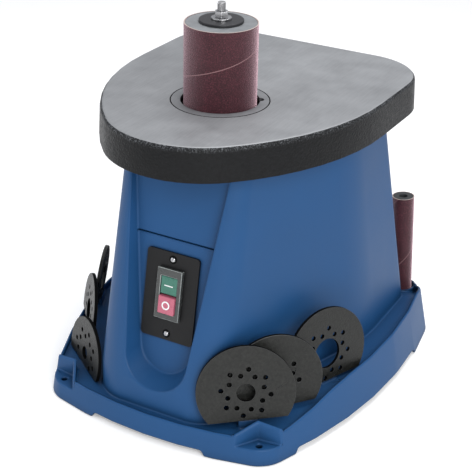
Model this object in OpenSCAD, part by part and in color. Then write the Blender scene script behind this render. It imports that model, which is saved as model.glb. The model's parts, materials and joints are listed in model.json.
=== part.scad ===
// Benchtop oscillating spindle sander: a cast table on a moulded housing whose base is a storage
// tray, with the drum, its quill, the belt drive and the worm drive that lifts and lowers it.
// All lengths are in millimetres. Z is up, the switch faces -Y, and the origin is on the surface
// the machine stands on, at the middle of the base.

/* [Table] */
// Width of the table's top face
table_w = 305; // [280:1:320]
// Depth of the table's top face, front to back
table_l = 369; // [355:1:385]
// Height of the table's top face above the bench
table_top = 341; // [336:1:350]
// Depth of the table's skirt below the top face
table_skirt = 37; // [34:1:40]
// Thickness of the table's plate
table_plate = 7; // [6:0.5:9]
// Thickness of the table's skirt
skirt_wall = 5; // [4:0.5:7]
// Radius of the table's nose
table_nose_r = 103; // [95:1:112]
// Radius of the table's back corners
table_corner_r = 72; // [60:1:80]
// How far the skirt spreads towards its lower edge
table_draft = 1.5; // [0:0.1:3]
// Radius of the worn edge round the top face
table_edge_r = 4.5; // [2:0.1:5]

/* [Inserts] */
// Radius of every table insert
insert_r = 53; // [51:0.5:54]
// Thickness of every table insert
insert_t = 4; // [3:0.5:5]
// Distance from an insert's centre to its flat edge
insert_flat = 31.8; // [29:0.2:34]
// Gap round the insert in the table's recess
insert_gap = 0.4; // [0.3:0.1:0.6]
// Radius of the hole in the insert in use
insert_hole_r = 42; // [41:0.1:43]
// Radius of each dust hole in a stored insert
vent_hole_r = 2.8; // [1.5:0.1:3]

/* [Drum and spindle] */
// Outside radius of the abrasive sleeve in use
sleeve_r = 39; // [38:0.25:39.5]
// Thickness of the abrasive sleeve
sleeve_t = 1.2; // [0.8:0.1:1.6]
// Length of the drum and of its sleeve
drum_l = 114.5; // [110:0.5:118]
// Height of the drum's top face above the table
drum_proud = 85; // [80:0.5:90]
// Radius of the spindle inside the drum
spindle_top_r = 6; // [5:0.25:6.5]
// Radius of the threaded end of the spindle
thread_r = 4; // [3:0.25:4.5]
// Travel of the drum each way from the middle of its stroke
stroke_half = 8; // [6:0.5:8]

/* [Base] */
// Width of the base
base_w = 377.6; // [370:0.2:385]
// Depth of the base, front to back
base_l = 412; // [405:1:420]
// Distance from the spindle to the front of the base
base_front = 157; // [154:1:160]
// Radius of the base's front corners
base_corner_r = 38; // [30:1:44]
// Radius of the base's back corners
base_back_r = 48; // [42:1:52]
// Slope of the base's outer wall, as a run for each unit of rise
base_draft = 0.15; // [0.12:0.01:0.2]
// Height of the tray's rim at the front
rim_front_h = 30; // [27:0.5:32]
// Height of the tray's rim at the back
rim_back_h = 64; // [60:0.5:66]
// Thickness of the tray's rim
rim_t = 3.5; // [3:0.25:4.5]
// Height of the base between its feet
foot_h = 6; // [4:0.5:8]
// Radius of each hole for a bench bolt
bolt_hole_r = 3.25; // [2.5:0.05:4]

/* [Housing] */
// Wall thickness of the housing
wall = 3.5; // [3:0.25:4]
// Distance from the spindle to the housing's front face, at the foot
body_front = 139; // [136:1:141]
// Half the housing's width at the foot
body_half_w = 151; // [148:1:153]
// Distance from the spindle to the housing's back face, at the foot
body_back = 212; // [208:1:213]
// Half the housing's width under the table
body_top_half_w = 122.5; // [119:0.5:125]
// Distance from the spindle to the housing's front face, under the table
body_top_front = 80; // [79:0.5:82]
// Distance from the spindle to the housing's back face, under the table
body_top_back = 176; // [172:1:180]
// Radius of the housing's back corners
body_back_r = 20; // [15:1:24]
// Slope of the front channel's floor
channel_tilt = 9.8; // [9.4:0.1:10.2]

/* [Switch] */
// Width of the switch plate
switch_w = 64; // [60:1:66]
// Height of the switch plate
switch_l = 99; // [94:1:102]
// Height of the switch plate's centre
switch_h = 149.5; // [146:1:152]
// Travel of each push button
button_travel = 2.5; // [2:0.1:3]

/* [Drive] */
// Radius of the quill that carries the spindle
quill_r = 22; // [21:0.25:22.5]
// Running clearance between a turning or sliding piece and its bore
run_gap = 0.05; // [0.03:0.01:0.08]
// Distance from the spindle to the motor's shaft
motor_reach = 110; // [108:1:114]
// Radius of the pulley on the motor's shaft
motor_pulley_r = 24; // [22:0.5:25]
// Radius of the pulley that turns the spindle
spindle_pulley_r = 34; // [32:0.5:35]
// Number of teeth on the worm wheel
wheel_teeth = 35; // [34:1:36]
// Mean radius of the worm
worm_r = 13; // [12.6:0.1:13.4]
// Mean radius of the worm wheel
wheel_r = 27; // [26.6:0.1:27.4]
// Height of the worm's thread, and of the wheel's teeth, each side of the mean radius
tooth_h = 1.2; // [0.8:0.1:1.2]

/* [Dust port] */
// Outside radius of the dust port
port_r = 18; // [16:0.25:18]
// Wall thickness of the dust port
port_wall = 2.2; // [1.8:0.1:3]

/* [Hidden] */

$fn = 64;
eps = 0.01;
big = 600;
arc_step = 6;   // degrees between the points of an outline's arcs
seat = 0.3;     // gap between pieces that rest on each other but can part

// ---- Outlines ----
// A half outline starts at the front on the centre line and runs round to the back. Each entry
// is a straight length, then the radius and the turn of the arc that follows it. Every radius
// is measured on the outline itself, so an inset of d gives a truly parallel outline.
function arc_run(c, r, h, turn, n) = [for (k = [0:n]) c + r * [sin(h + turn * k / n), -cos(h + turn * k / n)]];
function chain(p, h, segs, d, i = 0) = i == len(segs) ? [] :
    let (s = segs[i], c = p + s[0] * [cos(h), sin(h)] + s[1] * [-sin(h), cos(h)],
        n = max(1, ceil(s[2] / arc_step)))
    concat(arc_run(c, s[1] - d, h, s[2], n),
        chain(c + s[1] * [sin(h + s[2]), -cos(h + s[2])], h + s[2], segs, d, i + 1));
function both_sides(half) = concat(half, [for (i = [len(half) - 1:-1:0]) [-half[i][0], half[i][1]]]);
function outline(front, segs, d) = both_sides(chain([0, front], 0, segs, d));
module slice(points, z) { translate([0, 0, z]) linear_extrude(eps) polygon(points); }

// Table: a nose arc, a flatter side arc, a straight side and a back corner
nose_turn = 45;
side_r = (table_w / 2 - table_nose_r * sin(nose_turn)) / (1 - sin(nose_turn));
table_overhang = 16.5;
table_back = table_l - base_front + table_overhang;
table_front = table_back - table_l;
table_straight = table_l - table_corner_r - table_nose_r - (side_r - table_nose_r) * cos(nose_turn);
table_segs = [[0, table_nose_r, nose_turn], [0, side_r, 90 - nose_turn],
    [table_straight, table_corner_r, 90]];
function table_outline(d) = outline(table_front, table_segs, d);
table_under = table_top - table_plate;
skirt_bottom = table_top - table_skirt;

// Base: a bowed front, a rounded corner, bowed sides and a back corner
front_turn = 15.8;
corner_turn = 52;
side_turn = 90 - front_turn - corner_turn;
waist_turn = 12;
base_side_r = 560;
base_waist_r = 535;
bow_end = front_turn + corner_turn;
base_nose_r = (base_w / 2 - base_corner_r * (sin(bow_end) - sin(front_turn))
    - base_side_r * (1 - sin(bow_end))) / sin(front_turn);
base_straight = base_l - base_nose_r * (1 - cos(front_turn))
    - base_corner_r * (cos(front_turn) - cos(bow_end)) - base_side_r * cos(bow_end)
    - base_waist_r * sin(waist_turn) - base_back_r * (1 - sin(waist_turn));
// The back corners grow rounder towards the rim
corner_growth = 0.16;
function base_segs(g) = [[0, base_nose_r, front_turn], [0, base_corner_r, corner_turn],
    [0, base_side_r, side_turn], [base_straight - g * (1 - sin(waist_turn)), base_waist_r, waist_turn],
    [0, base_back_r + g, 90 - waist_turn]];
function base_outline(d, g = 0) = outline(-base_front, base_segs(g), d);
base_back = base_l - base_front;
spindle_y = -(base_back - base_front) / 2;

// The tray's rim climbs steeply behind the front corners and gently from there to the back, and
// the tray's floor follows a little lower, deeper at the sides than at the front.
rim_climb = 20;
climb_run = 130;
rim_fall = 12;
function ease(t) = t * t * (3 - 2 * t);
function clamp(t) = min(1, max(0, t));
function rim_h(y) = rim_front_h + (rim_back_h - rim_front_h - rim_climb) * (y + base_front) / base_l
    + rim_climb * ease(clamp((y + climb_run) / climb_run)) - rim_fall * ease(clamp((y - base_back + 60) / 50));
function floor_h(y) = rim_h(y) - 3 - 6 * clamp((y + base_front - 20) / 100);
profile_step = 12;
profile_n = ceil(base_l / profile_step);
function profile_y(i) = -base_front - 1 + (base_l + 2) * i / profile_n;

// Housing: a flat front, a rounded front corner, a side that splays and then runs straight back
side_heading = 71;
side_bend_r = 150;
foot_level = 42;
function mix(a, b, t) = a + (b - a) * t;
function body_outline(h, d) = let (t = (h - foot_level) / (skirt_bottom - foot_level),
        front = body_front_y(h), half = mix(body_half_w, body_top_half_w, t),
        back = mix(body_back, body_top_back, t), flat = mix(40, 50, t), r = mix(45, 28, t),
        l1 = (half - flat - r * sin(side_heading) - side_bend_r * (1 - sin(side_heading)))
            / cos(side_heading),
        l2 = back - front - r * (1 - cos(side_heading)) - l1 * sin(side_heading)
            - side_bend_r * cos(side_heading) - body_back_r)
    outline(front, [[flat, r, side_heading], [l1, side_bend_r, 90 - side_heading],
        [l2, body_back_r, 90]], d);
// The front leans back from a knee just above the foot
knee_h = 58;
foot_low = 18;
function body_front_y(h) = h < knee_h ? mix(-body_front - 1, -body_front + 1, (h - foot_low) / (knee_h - foot_low))
    : mix(-body_front + 1, -body_top_front, (h - knee_h) / (skirt_bottom - knee_h));

// Front channel: its floor leans back by channel_tilt and carries the switch
floor_at_switch = -98.9;
function channel_y(h) = floor_at_switch + tan(channel_tilt) * (h - switch_h);
module on_channel(h = switch_h) {
    translate([0, channel_y(h), h]) rotate([90 - channel_tilt, 0, 0]) children();
}

// Machine heights, all measured from the bench
drum_top = table_top + drum_proud;
drum_bottom = drum_top - drum_l;
deck_h = skirt_bottom - seat;
deck_t = wall;
chute_bottom = 260;
plate_top = 250;
plate_t = 4;
plate_bottom = plate_top - plate_t;
quill_top = 250;
quill_bottom = 166;
bearing_w = 11;
tube_bottom = 162;
tube_r = quill_r + 8;
flange_r = 46;
flange_t = 8;
lug_h = quill_bottom + bearing_w + 13;
worm_h = 132;
worm_l = 24;
pulley_low = 88;
pulley_w = 14;
hub_r = 10;
hub_top = 147;
lower_plate_top = 84;
lower_plate_t = 14;
spindle_foot = 74;
journal_r = 7.5;
bearing_r = 17.5;
pulley_bearing_r = 21;
pulley_bearing_w = 12;
hex_flat = 12;
mesh_gap = 0.35;
wheel_x = worm_r + wheel_r + mesh_gap;
wheel_w = 8;
worm_pitch = 2 * PI * wheel_r / wheel_teeth;
crank_r = stroke_half;
crank_pin_r = 4;
crank_web = 3.6;
rod_y = -8;
rod_t = 6;
wrist_x = 36.5;
port_h = 280;
port_end = 236;
back_lean = atan((body_back - body_top_back) / (skirt_bottom - foot_level));
function body_back_y(h) = mix(body_back, body_top_back, (h - foot_level) / (skirt_bottom - foot_level));
port_y = body_back_y(port_h);
face = 0.05;    // gap between pieces that are screwed or pressed together
screw_r = 3;
small_screw_r = 2;
chute_r = 52;
chute_wall = 2.2;
base_plate_h = 8;
base_plate_t = 2.5;
washer_t = 3;

module at_spindle() { translate([0, spindle_y, 0]) children(); }
module ring(r1, r0, h) { difference() { cylinder(r = r1, h = h); translate([0, 0, -1]) cylinder(r = r0, h = h + 2); } }
module mirrored() { children(); mirror([1, 0, 0]) children(); }
module hexagon(flat, h) { cylinder(r = flat / sqrt(3), h = h, $fn = 6); }

// ---- Housing and base ----
// Each corner has a pocket for a bench bolt, cut down through the sloping rim to a flat seat
pocket_floor = 19;
side = base_w / 2;
front_pocket = [side - 69.8, 40.5 - base_front];
back_pocket = [side - 32.8, base_back - 25];
bolt_x = side - 63.3;
bolt_front_y = 31 - base_front;
back_bolt = [side - 27.8, base_back - 19];
function pocket_edge(a, l) = l * [cos(a), sin(a)];
module pocket_shape(v, a, half, grow) {
    tip = v - grow / sin(half) * [cos(a), sin(a)];
    polygon([tip, tip + pocket_edge(a - half, 90), tip + pocket_edge(a, 130), tip + pocket_edge(a + half, 90)]);
}
front_pocket_dir = -57;
front_pocket_half = 65;
back_pocket_dir = 50;
back_pocket_half = 62;
module pockets(grow, low) {
    mirrored() translate([0, 0, low]) linear_extrude(big) {
        pocket_shape(front_pocket, front_pocket_dir, front_pocket_half, grow);
        pocket_shape(back_pocket, back_pocket_dir, back_pocket_half, grow);
    }
}
// The wall behind a front pocket stands a little above the rim, along a slanting crest
module pocket_crest() {
    mirrored() intersection() {
        linear_extrude(big) difference() {
            pocket_shape(front_pocket, front_pocket_dir, front_pocket_half, rim_t);
            pocket_shape(front_pocket, front_pocket_dir, front_pocket_half, 0);
        }
        translate([front_pocket[0], front_pocket[1], 40]) rotate([26.5, 12.2, 0])
            translate([-big / 2, -big / 2, -big]) cube(big);
    }
}
module side_profile(low, high) {
    rotate([90, 0, 90]) translate([0, 0, -big / 2]) linear_extrude(big) polygon(concat(low, high));
}
module under_rim() {
    side_profile([[base_back + 1, -1], [-base_front - 1, -1]],
        [for (i = [0:profile_n]) [profile_y(i), rim_h(profile_y(i))]]);
}
module over_floor() {
    side_profile([[base_back + 1, big], [-base_front - 1, big]],
        [for (i = [0:profile_n]) [profile_y(i), floor_h(profile_y(i))]]);
}
module under_floor() {
    side_profile([[base_back + 1, -2], [-base_front - 1, -2]],
        [for (i = [0:profile_n]) [profile_y(i), floor_h(profile_y(i)) - wall]]);
}
module base_loft(inset, z0, z1) {
    hull() {
        slice(base_outline(inset + base_draft * max(z0, 0), corner_growth * max(z0, 0)), z0);
        slice(base_outline(inset + base_draft * z1, corner_growth * z1), z1);
    }
}
module body_loft(inset, z0, z1) {
    hull() {
        slice(body_outline(foot_low, inset), z0);
        slice(body_outline(knee_h, inset), knee_h);
        slice(body_outline(skirt_bottom, inset), z1);
    }
}
// The channel is lofted from its floor, a tall U, to a wider U a little in front of the face
function u_shape(r, half_high, low, high) = concat(
    [for (a = [190:10:350]) [r * cos(a), low + r + r * sin(a)]], [[half_high, high], [-half_high, high]]);
module channel(grow) {
    w_low = (62 - switch_h) / cos(channel_tilt) - grow;
    w_high = (skirt_bottom + 12 - switch_h) / cos(channel_tilt);
    reach = 30;
    hull() {
        on_channel() translate([0, 0, -grow]) linear_extrude(eps)
            polygon(u_shape(32.5 + grow, 60 + grow, w_low, w_high));
        on_channel() translate([0, 0, reach]) linear_extrude(eps)
            polygon(u_shape(41 + grow, 67 + grow, w_low - 19, w_high));
    }
}
// Above the switch the channel's floor stands a little proud, in a panel with a straight lower edge
panel_low = 64;
panel_proud = 0.7;
module channel_panel() {
    panel_high = (deck_h - 2 - switch_h) / cos(channel_tilt);
    half = [34.5 + 0.125 * (panel_low + switch_h - 100), 34.5 + 0.125 * (panel_high + switch_h - 100)];
    on_channel() translate([0, 0, -1]) linear_extrude(1 + panel_proud)
        polygon([[-half[0], panel_low], [half[0], panel_low], [half[1], panel_high], [-half[1], panel_high]]);
}
foot_gap_front = 68;
foot_gap_side = [-91, 158];
foot_gap_back = 95;
module between_feet() {
    slope = foot_h * 0.8;
    rotate([90, 0, 0]) translate([0, 0, -big / 2]) linear_extrude(big)
        polygon([[-foot_gap_front - slope, -1], [foot_gap_front + slope, -1],
            [foot_gap_front, foot_h], [-foot_gap_front, foot_h]]);
    rotate([90, 0, 90]) translate([0, 0, -big / 2]) linear_extrude(big)
        polygon([[foot_gap_side[0] - slope, -1], [foot_gap_side[1] + slope, -1],
            [foot_gap_side[1], foot_h], [foot_gap_side[0], foot_h]]);
}
// Where each stored insert stands: centre, direction it faces, lean, turn in its own plane,
// radius of its hole, outside radius, and distance from its centre to its flat edge
small_r = 45;
stored = [
    [[101.3, -113.2, 69.8], 34, 8.9, 5, 10.2, insert_r, insert_flat],
    [[119.2, -80.6, 72.5], 45.5, 7, 5, 12, insert_r, insert_flat],
    [[147.2, -13, 80], 65, 7.5, 3, 17.2, insert_r, insert_flat],
    [[-113, -103.4, 45.5], -34, 8, -3.6, 7.4, small_r - 3.5, 14],
    [[-140.6, -55.3, 70], -49, 9, -4, 13.5, small_r - 2, 17.5],
    [[-162.2, 1, 84], -65, 8, -3, 15.5, small_r - 8, 27]];
module at_insert(i) {
    translate(stored[i][0]) rotate([0, 0, stored[i][1]]) rotate([90 - stored[i][2], 0, 0])
        rotate([0, 0, stored[i][3]]) children();
}
// Under each stored insert the tray has a foot with a low lip behind it
foot_w = 22;
lip_t = 3;
lip_h = 2.5;
module insert_feet() {
    for (i = [0:5]) intersection() {
        at_insert(i) translate([-foot_w / 2, -stored[i][6] - 30, -insert_t - seat - lip_t]) {
            cube([foot_w, 30 - seat, insert_t + seat + lip_t - 1.5]);
            cube([foot_w, 30 + lip_h, lip_t]);
        }
        translate([0, 0, -wall / 2]) over_floor();
    }
}
stored_drum_at = [side - 52.8, base_back - 29];
peg_r = 4;
peg_lean = 3;
stored_foot = 42;
stored_r = 13.5;
socket_r = 15;
socket_floor = stored_foot - stored_r * sin(peg_lean) - seat;
module at_peg() {
    translate([stored_drum_at[0], stored_drum_at[1], stored_foot]) rotate([0, -peg_lean, 0]) children();
}
table_bosses = [[83, -5], [95, 118]];
post_at = [[66, -34], [66, 150]];
gland_at = [70, 92];
gland_r = 8;
module housing_shell() {
    difference() {
        union() {
            difference() {
                intersection() {
                    base_loft(0, 0, 72);
                    union() { under_rim(); pocket_crest(); }
                }
                difference() {
                    intersection() { base_loft(rim_t, 12, 78); over_floor(); }
                    pockets(rim_t, 0);
                }
            }
            body_loft(0, foot_low, deck_h);
        }
        channel(0);
        difference() {
            union() {
                body_loft(wall, -2, deck_h - deck_t);
                intersection() { base_loft(wall, -2, 78); under_floor(); }
            }
            channel(wall);
            pockets(wall, -3);
        }
        pockets(0, pocket_floor);
    }
}
plate_screw_at = [[side - 30.8, -20], [side - 30.8, base_back - 105], [60, 19 - base_front]];
module deck_holes() {
    translate([0, 0, deck_h - deck_t - 1]) {
        cylinder(r = chute_r + face, h = deck_t + 2);
        mirrored() for (p = concat(table_bosses, post_at))
            translate(p) cylinder(r = screw_r + face, h = deck_t + 2);
    }
}
switch_mid = 3.8;
switch_body_w = 26;
switch_body_l = 54;
switch_screw_y = 42;
module stored_socket() {
    translate([stored_drum_at[0], stored_drum_at[1], 0]) children();
}
module housing() {
    color("royalblue") at_spindle() difference() {
        union() {
            difference() {
                union() {
                    housing_shell();
                    stored_socket() translate([0, 0, socket_floor - 3]) cylinder(r = socket_r + 2, h = 14);
                }
                stored_socket() translate([0, 0, socket_floor]) cylinder(r = socket_r, h = 40);
            }
            insert_feet();
            channel_panel();
            at_peg() translate([0, 0, -2]) cylinder(r = peg_r, h = 32);
            mirrored() for (p = plate_screw_at) translate([p[0], p[1], base_plate_h + base_plate_t + face])
                cylinder(r = 5, h = floor_h(p[1]) - wall / 2 - base_plate_h - base_plate_t);
        }
        between_feet();
        deck_holes();
        on_channel() {
            translate([-switch_body_w / 2 - 1, switch_mid - switch_body_l / 2 - 1, -20])
                cube([switch_body_w + 2, switch_body_l + 2, 40]);
            for (s = [-1, 1]) translate([0, s * switch_screw_y, -20]) cylinder(r = 1.7, h = 40);
        }
        mirrored() {
            translate([bolt_x, bolt_front_y, -1]) cylinder(r = bolt_hole_r, h = 60);
            translate([back_bolt[0], back_bolt[1], -1]) cylinder(r = bolt_hole_r, h = 60);
            for (p = plate_screw_at) translate([p[0], p[1], base_plate_h - 1])
                cylinder(r = small_screw_r + face, h = 13);
        }
        translate([0, port_y, port_h]) rotate([90, 0, 0])
            cylinder(r = port_r - port_step + face, h = 60, center = true);
        translate([gland_at[0], body_back_y(gland_at[1]), gland_at[1]]) rotate([90, 0, 0])
            cylinder(r = gland_r + face, h = 30, center = true);
    }
}
module base_plate() {
    color("dimgray") at_spindle() translate([0, 0, base_plate_h]) linear_extrude(base_plate_t) difference() {
        polygon(base_outline(wall + base_draft * base_plate_h + 0.8, corner_growth * base_plate_h));
        mirrored() {
            pocket_shape(front_pocket, front_pocket_dir, front_pocket_half, wall + 0.8);
            pocket_shape(back_pocket, back_pocket_dir, back_pocket_half, wall + 0.8);
            for (p = plate_screw_at) translate(p) circle(r = small_screw_r + face);
            for (i = [0:4]) translate([22 + 14 * i, 40]) square([5, base_back - 165]);
        }
    }
}
module pan_screw(r, head_r, head_h, length) {
    translate([0, 0, face]) cylinder(r = head_r, h = head_h);
    translate([0, 0, -length]) cylinder(r = r, h = length + 1);
}
module base_plate_screws() {
    color("gainsboro") at_spindle() mirrored() for (p = plate_screw_at)
        translate([p[0], p[1], base_plate_h]) rotate([180, 0, 0]) pan_screw(small_screw_r, 3.6, 2.4, 9.5);
}

// ---- Table and inserts ----
boss_r = 9;
collar_h = 14;
rib_h = 15;
rib_t = 4;
cross_ribs = [[table_back - 112, table_w / 2 - 2], [table_back - 50, table_w / 2 - 6]];
module table() {
    color("silver") at_spindle() difference() {
        union() {
            difference() {
                hull() {
                    slice(table_outline(-table_draft), skirt_bottom);
                    for (a = [0, 30, 60, 90]) slice(table_outline(table_edge_r * (1 - cos(a))),
                        table_top - table_edge_r * (1 - sin(a)) - eps);
                }
                hull() {
                    slice(table_outline(skirt_wall - table_draft), skirt_bottom - 1);
                    slice(table_outline(skirt_wall), table_under);
                }
            }
            translate([0, 0, table_top - collar_h]) cylinder(r = insert_r + 7, h = collar_h - 1);
            mirrored() {
                for (p = table_bosses) translate([p[0], p[1], skirt_bottom])
                    cylinder(r = boss_r, h = table_skirt - 1);
                translate([50, 30, table_under - rib_h]) cube([rib_t, table_back - 33, rib_h + 1]);
            }
            for (rib = cross_ribs) translate([-rib[1], rib[0] - rib_t / 2, table_under - rib_h])
                cube([2 * rib[1], rib_t, rib_h + 1]);
        }
        translate([0, 0, table_top - insert_t - seat]) cylinder(r = insert_r + insert_gap, h = insert_t + 2);
        translate([0, 0, table_top - 20]) cylinder(r = insert_r - 4.5, h = 30);
        mirrored() for (p = table_bosses) translate([p[0], p[1], skirt_bottom - 1])
            cylinder(r = screw_r + face, h = 24);
    }
}
module table_screws() {
    color("gainsboro") at_spindle() mirrored() for (p = table_bosses)
        translate([p[0], p[1], deck_h - deck_t]) rotate([180, 0, 0]) pan_screw(screw_r, 5.5, 3.5, 22);
}
notch_turn = 32;
module table_insert() {
    color("darkgray") at_spindle() translate([0, 0, table_top - insert_t]) difference() {
        union() {
            cylinder(r = insert_r, h = insert_t - 0.5);
            translate([0, 0, insert_t - 0.5]) cylinder(r1 = insert_r, r2 = insert_r - 0.5, h = 0.5);
        }
        translate([0, 0, -1]) cylinder(r = insert_hole_r, h = insert_t + 2);
        rotate([0, 0, notch_turn]) translate([insert_hole_r, 0, -1]) cylinder(r = 4.5, h = insert_t + 2);
    }
}
module stored_insert(i) {
    hole = stored[i][4];
    r = stored[i][5];
    flat = stored[i][6];
    inner = max(20, hole + 5.5);
    color("dimgray") at_spindle() at_insert(i) translate([0, 0, -insert_t]) linear_extrude(insert_t)
        difference() {
            circle(r = r);
            translate([-r, -flat - r]) square([2 * r, r]);
            circle(r = hole);
            for (k = [0:7]) rotate([0, 0, 45 * k + 12]) {
                translate([inner, 0]) circle(r = vent_hole_r);
                rotate([0, 0, 22.5]) translate([inner + 6.6, 0]) circle(r = vent_hole_r);
            }
        }
}
module insert_right_front() { stored_insert(0); }
module insert_right_middle() { stored_insert(1); }
module insert_right_rear() { stored_insert(2); }
module insert_left_front() { stored_insert(3); }
module insert_left_middle() { stored_insert(4); }
module insert_left_rear() { stored_insert(5); }
stored_l = 130;
module stored_drum() {
    color("dimgray") at_spindle() at_peg() ring(stored_r - sleeve_t - face, peg_r + 1, stored_l);
}
module stored_sleeve() {
    color("indianred") at_spindle() at_peg() ring(stored_r, stored_r - sleeve_t, stored_l);
}

// ---- Drum and spindle ----
module drum() {
    color("dimgray") at_spindle() translate([0, 0, drum_bottom])
        ring(sleeve_r - sleeve_t - face, spindle_top_r + face, drum_l);
}
module sanding_sleeve() {
    color("indianred") at_spindle() translate([0, 0, drum_bottom]) ring(sleeve_r, sleeve_r - sleeve_t, drum_l);
}
module lower_washer() {
    color("dimgray") at_spindle() translate([0, 0, drum_bottom - washer_t - face])
        ring(23.5, spindle_top_r + face, washer_t);
}
module upper_washer() {
    color("dimgray") at_spindle() translate([0, 0, drum_top + face]) ring(23.5, thread_r + face, washer_t);
}
module lock_collar() {
    color("gray") at_spindle() translate([0, 0, drum_top + washer_t + 2 * face]) ring(10.8, thread_r + face, 2);
}
module spindle_nut() {
    color("gainsboro") at_spindle() translate([0, 0, drum_top + washer_t + 2 + 3 * face]) difference() {
        hexagon(13, 6.5);
        translate([0, 0, -1]) cylinder(r = thread_r + face, h = 9);
    }
}
shoulder_h = drum_bottom - washer_t - 2 * face;
clip_h = quill_bottom - 2.2;
clip_t = 1.8;
module spindle() {
    color("gainsboro") at_spindle() {
        translate([0, 0, spindle_foot]) hexagon(hex_flat, quill_bottom - 6 - spindle_foot);
        difference() {
            translate([0, 0, quill_bottom - 6]) cylinder(r = journal_r, h = shoulder_h - quill_bottom + 6);
            translate([0, 0, clip_h - 0.1]) ring(journal_r + 1, journal_r - 0.7, clip_t + 0.2);
        }
        translate([0, 0, quill_top + seat]) cylinder(r = journal_r + 2, h = 2);
        translate([0, 0, shoulder_h - 1]) cylinder(r = spindle_top_r, h = drum_top - shoulder_h);
        translate([0, 0, drum_top - 2]) cylinder(r = thread_r, h = 23);
    }
}
module spindle_clip() {
    color("gray") at_spindle() translate([0, 0, clip_h]) ring(journal_r + 3, journal_r - 0.6, clip_t);
}

// ---- Quill and its housing ----
module bearing_ring(outer, inner, w) {
    difference() {
        cylinder(r = outer, h = w);
        translate([0, 0, -1]) cylinder(r = inner, h = w + 2);
        for (z = [-1, w - 0.8]) translate([0, 0, z]) ring(outer - 2.5, inner + 2.5, 1.8);
    }
}
module quill() {
    color("silver") at_spindle() difference() {
        translate([0, 0, quill_bottom]) cylinder(r = quill_r, h = quill_top - quill_bottom);
        translate([0, 0, quill_bottom - 1]) cylinder(r = bearing_r - 2.5, h = quill_top - quill_bottom + 2);
        for (z = [quill_bottom - 1, quill_top - bearing_w])
            translate([0, 0, z]) cylinder(r = bearing_r + face, h = bearing_w + 1);
        translate([0, 0, lug_h]) rotate([0, 90, 0]) cylinder(r = 4 + face, h = quill_r + 1);
    }
}
module quill_bearings() {
    color("gray") at_spindle() for (z = [quill_bottom, quill_top - bearing_w])
        translate([0, 0, z]) bearing_ring(bearing_r, journal_r + run_gap, bearing_w);
}
lug_half = 5;
lug_end = 44;
module quill_lug() {
    color("gray") at_spindle() translate([0, 0, lug_h]) {
        translate([bearing_r - 1.5, 0, 0]) rotate([0, 90, 0]) cylinder(r = 4, h = 8);
        translate([quill_r + seat, -lug_half, -lug_half])
            cube([lug_end - quill_r - seat, 2 * lug_half, 2 * lug_half]);
        translate([wrist_x, -lug_half + 1, 0]) rotate([90, 0, 0]) cylinder(r = 4, h = -rod_y - lug_half + 1 - seat);
    }
}
case_low = lower_plate_top - lower_plate_t;
arm_top = 176;
arm_half = 12;
column_in = 41;
column_out = 52;
module quill_housing() {
    color("slategray") at_spindle() difference() {
        union() {
            translate([0, 0, tube_bottom]) cylinder(r = tube_r, h = plate_bottom - face - tube_bottom);
            translate([0, 0, plate_bottom - face - flange_t]) cylinder(r = flange_r, h = flange_t);
            for (a = [90, 180]) rotate([0, 0, a]) {
                translate([-arm_half, column_in, case_low])
                    cube([2 * arm_half, column_out - column_in, arm_top - case_low]);
                for (z = [case_low, arm_top - lower_plate_t])
                    translate([-arm_half, 20, z]) cube([2 * arm_half, column_out - 20, lower_plate_t]);
            }
            translate([0, 0, case_low]) cylinder(r = pulley_bearing_r + 6, h = lower_plate_t);
            translate([wheel_x, 27, worm_h]) rotate([90, 0, 0]) cylinder(r = 12, h = 18);
            translate([wheel_x - 6, 10, worm_h]) cube([12, 16, arm_top - worm_h]);
            translate([15, 10, arm_top - lower_plate_t]) cube([wheel_x - 9, 16, lower_plate_t]);
        }
        translate([0, 0, tube_bottom - 1]) cylinder(r = quill_r + run_gap, h = 100);
        translate([0, 0, case_low + 2]) cylinder(r = pulley_bearing_r + face, h = lower_plate_t);
        translate([0, 0, case_low - 1]) cylinder(r = 14, h = lower_plate_t);
        translate([15, -lug_half - 0.5, lug_h - lug_half - stroke_half - 1])
            cube([40, 2 * lug_half + 1, 2 * (lug_half + stroke_half + 1)]);
        translate([26.5, -15, lug_h - 18]) cube([10, 9.5, 36]);
        translate([wheel_x, 40, worm_h]) rotate([90, 0, 0]) cylinder(r = 6 + run_gap, h = 40);
        for (a = [45:90:359]) rotate([0, 0, a]) translate([38, 0, plate_bottom - flange_t - 1])
            cylinder(r = screw_r + face, h = flange_t + 2);
    }
}
module quill_housing_screws() {
    color("gainsboro") at_spindle() for (a = [45:90:359]) rotate([0, 0, a])
        translate([38, 0, plate_top]) pan_screw(screw_r, 5.5, 3.5, 13);
}
module plate_shape(x, y0, y1, r) {
    difference() {
        translate([-x, y0]) square([2 * x, y1 - y0]);
        for (sx = [-1, 1], sy = [0, 1]) translate([sx * x, sy ? y1 : y0]) difference() {
            square(2 * r, center = true);
            translate([-sx * r, sy ? -r : r]) circle(r = r);
        }
    }
}
module chassis_plate() {
    color("silver") at_spindle() translate([0, 0, plate_bottom]) linear_extrude(plate_t) difference() {
        plate_shape(80, -48, 164, 12);
        circle(r = quill_r + 2);
        translate([0, motor_reach]) circle(r = 14);
        for (a = [45:90:359]) rotate([0, 0, a]) translate([38, 0]) circle(r = screw_r + face);
        for (a = [45:90:359]) translate([0, motor_reach]) rotate([0, 0, a]) translate([38, 0])
            circle(r = screw_r + face);
        mirrored() for (p = post_at) translate(p) circle(r = screw_r + face);
    }
}
module chassis_posts() {
    color("silver") at_spindle() mirrored() for (p = post_at) translate([p[0], p[1], plate_top + face])
        ring(8, screw_r + face, deck_h - deck_t - plate_top - 2 * face);
}
module chassis_screws() {
    color("gainsboro") at_spindle() mirrored() for (p = post_at) {
        translate([p[0], p[1], deck_h]) pan_screw(screw_r, 5.5, 3.5, 20);
        translate([p[0], p[1], plate_bottom]) rotate([180, 0, 0]) pan_screw(screw_r, 5.5, 3.5, 20);
    }
}

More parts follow.
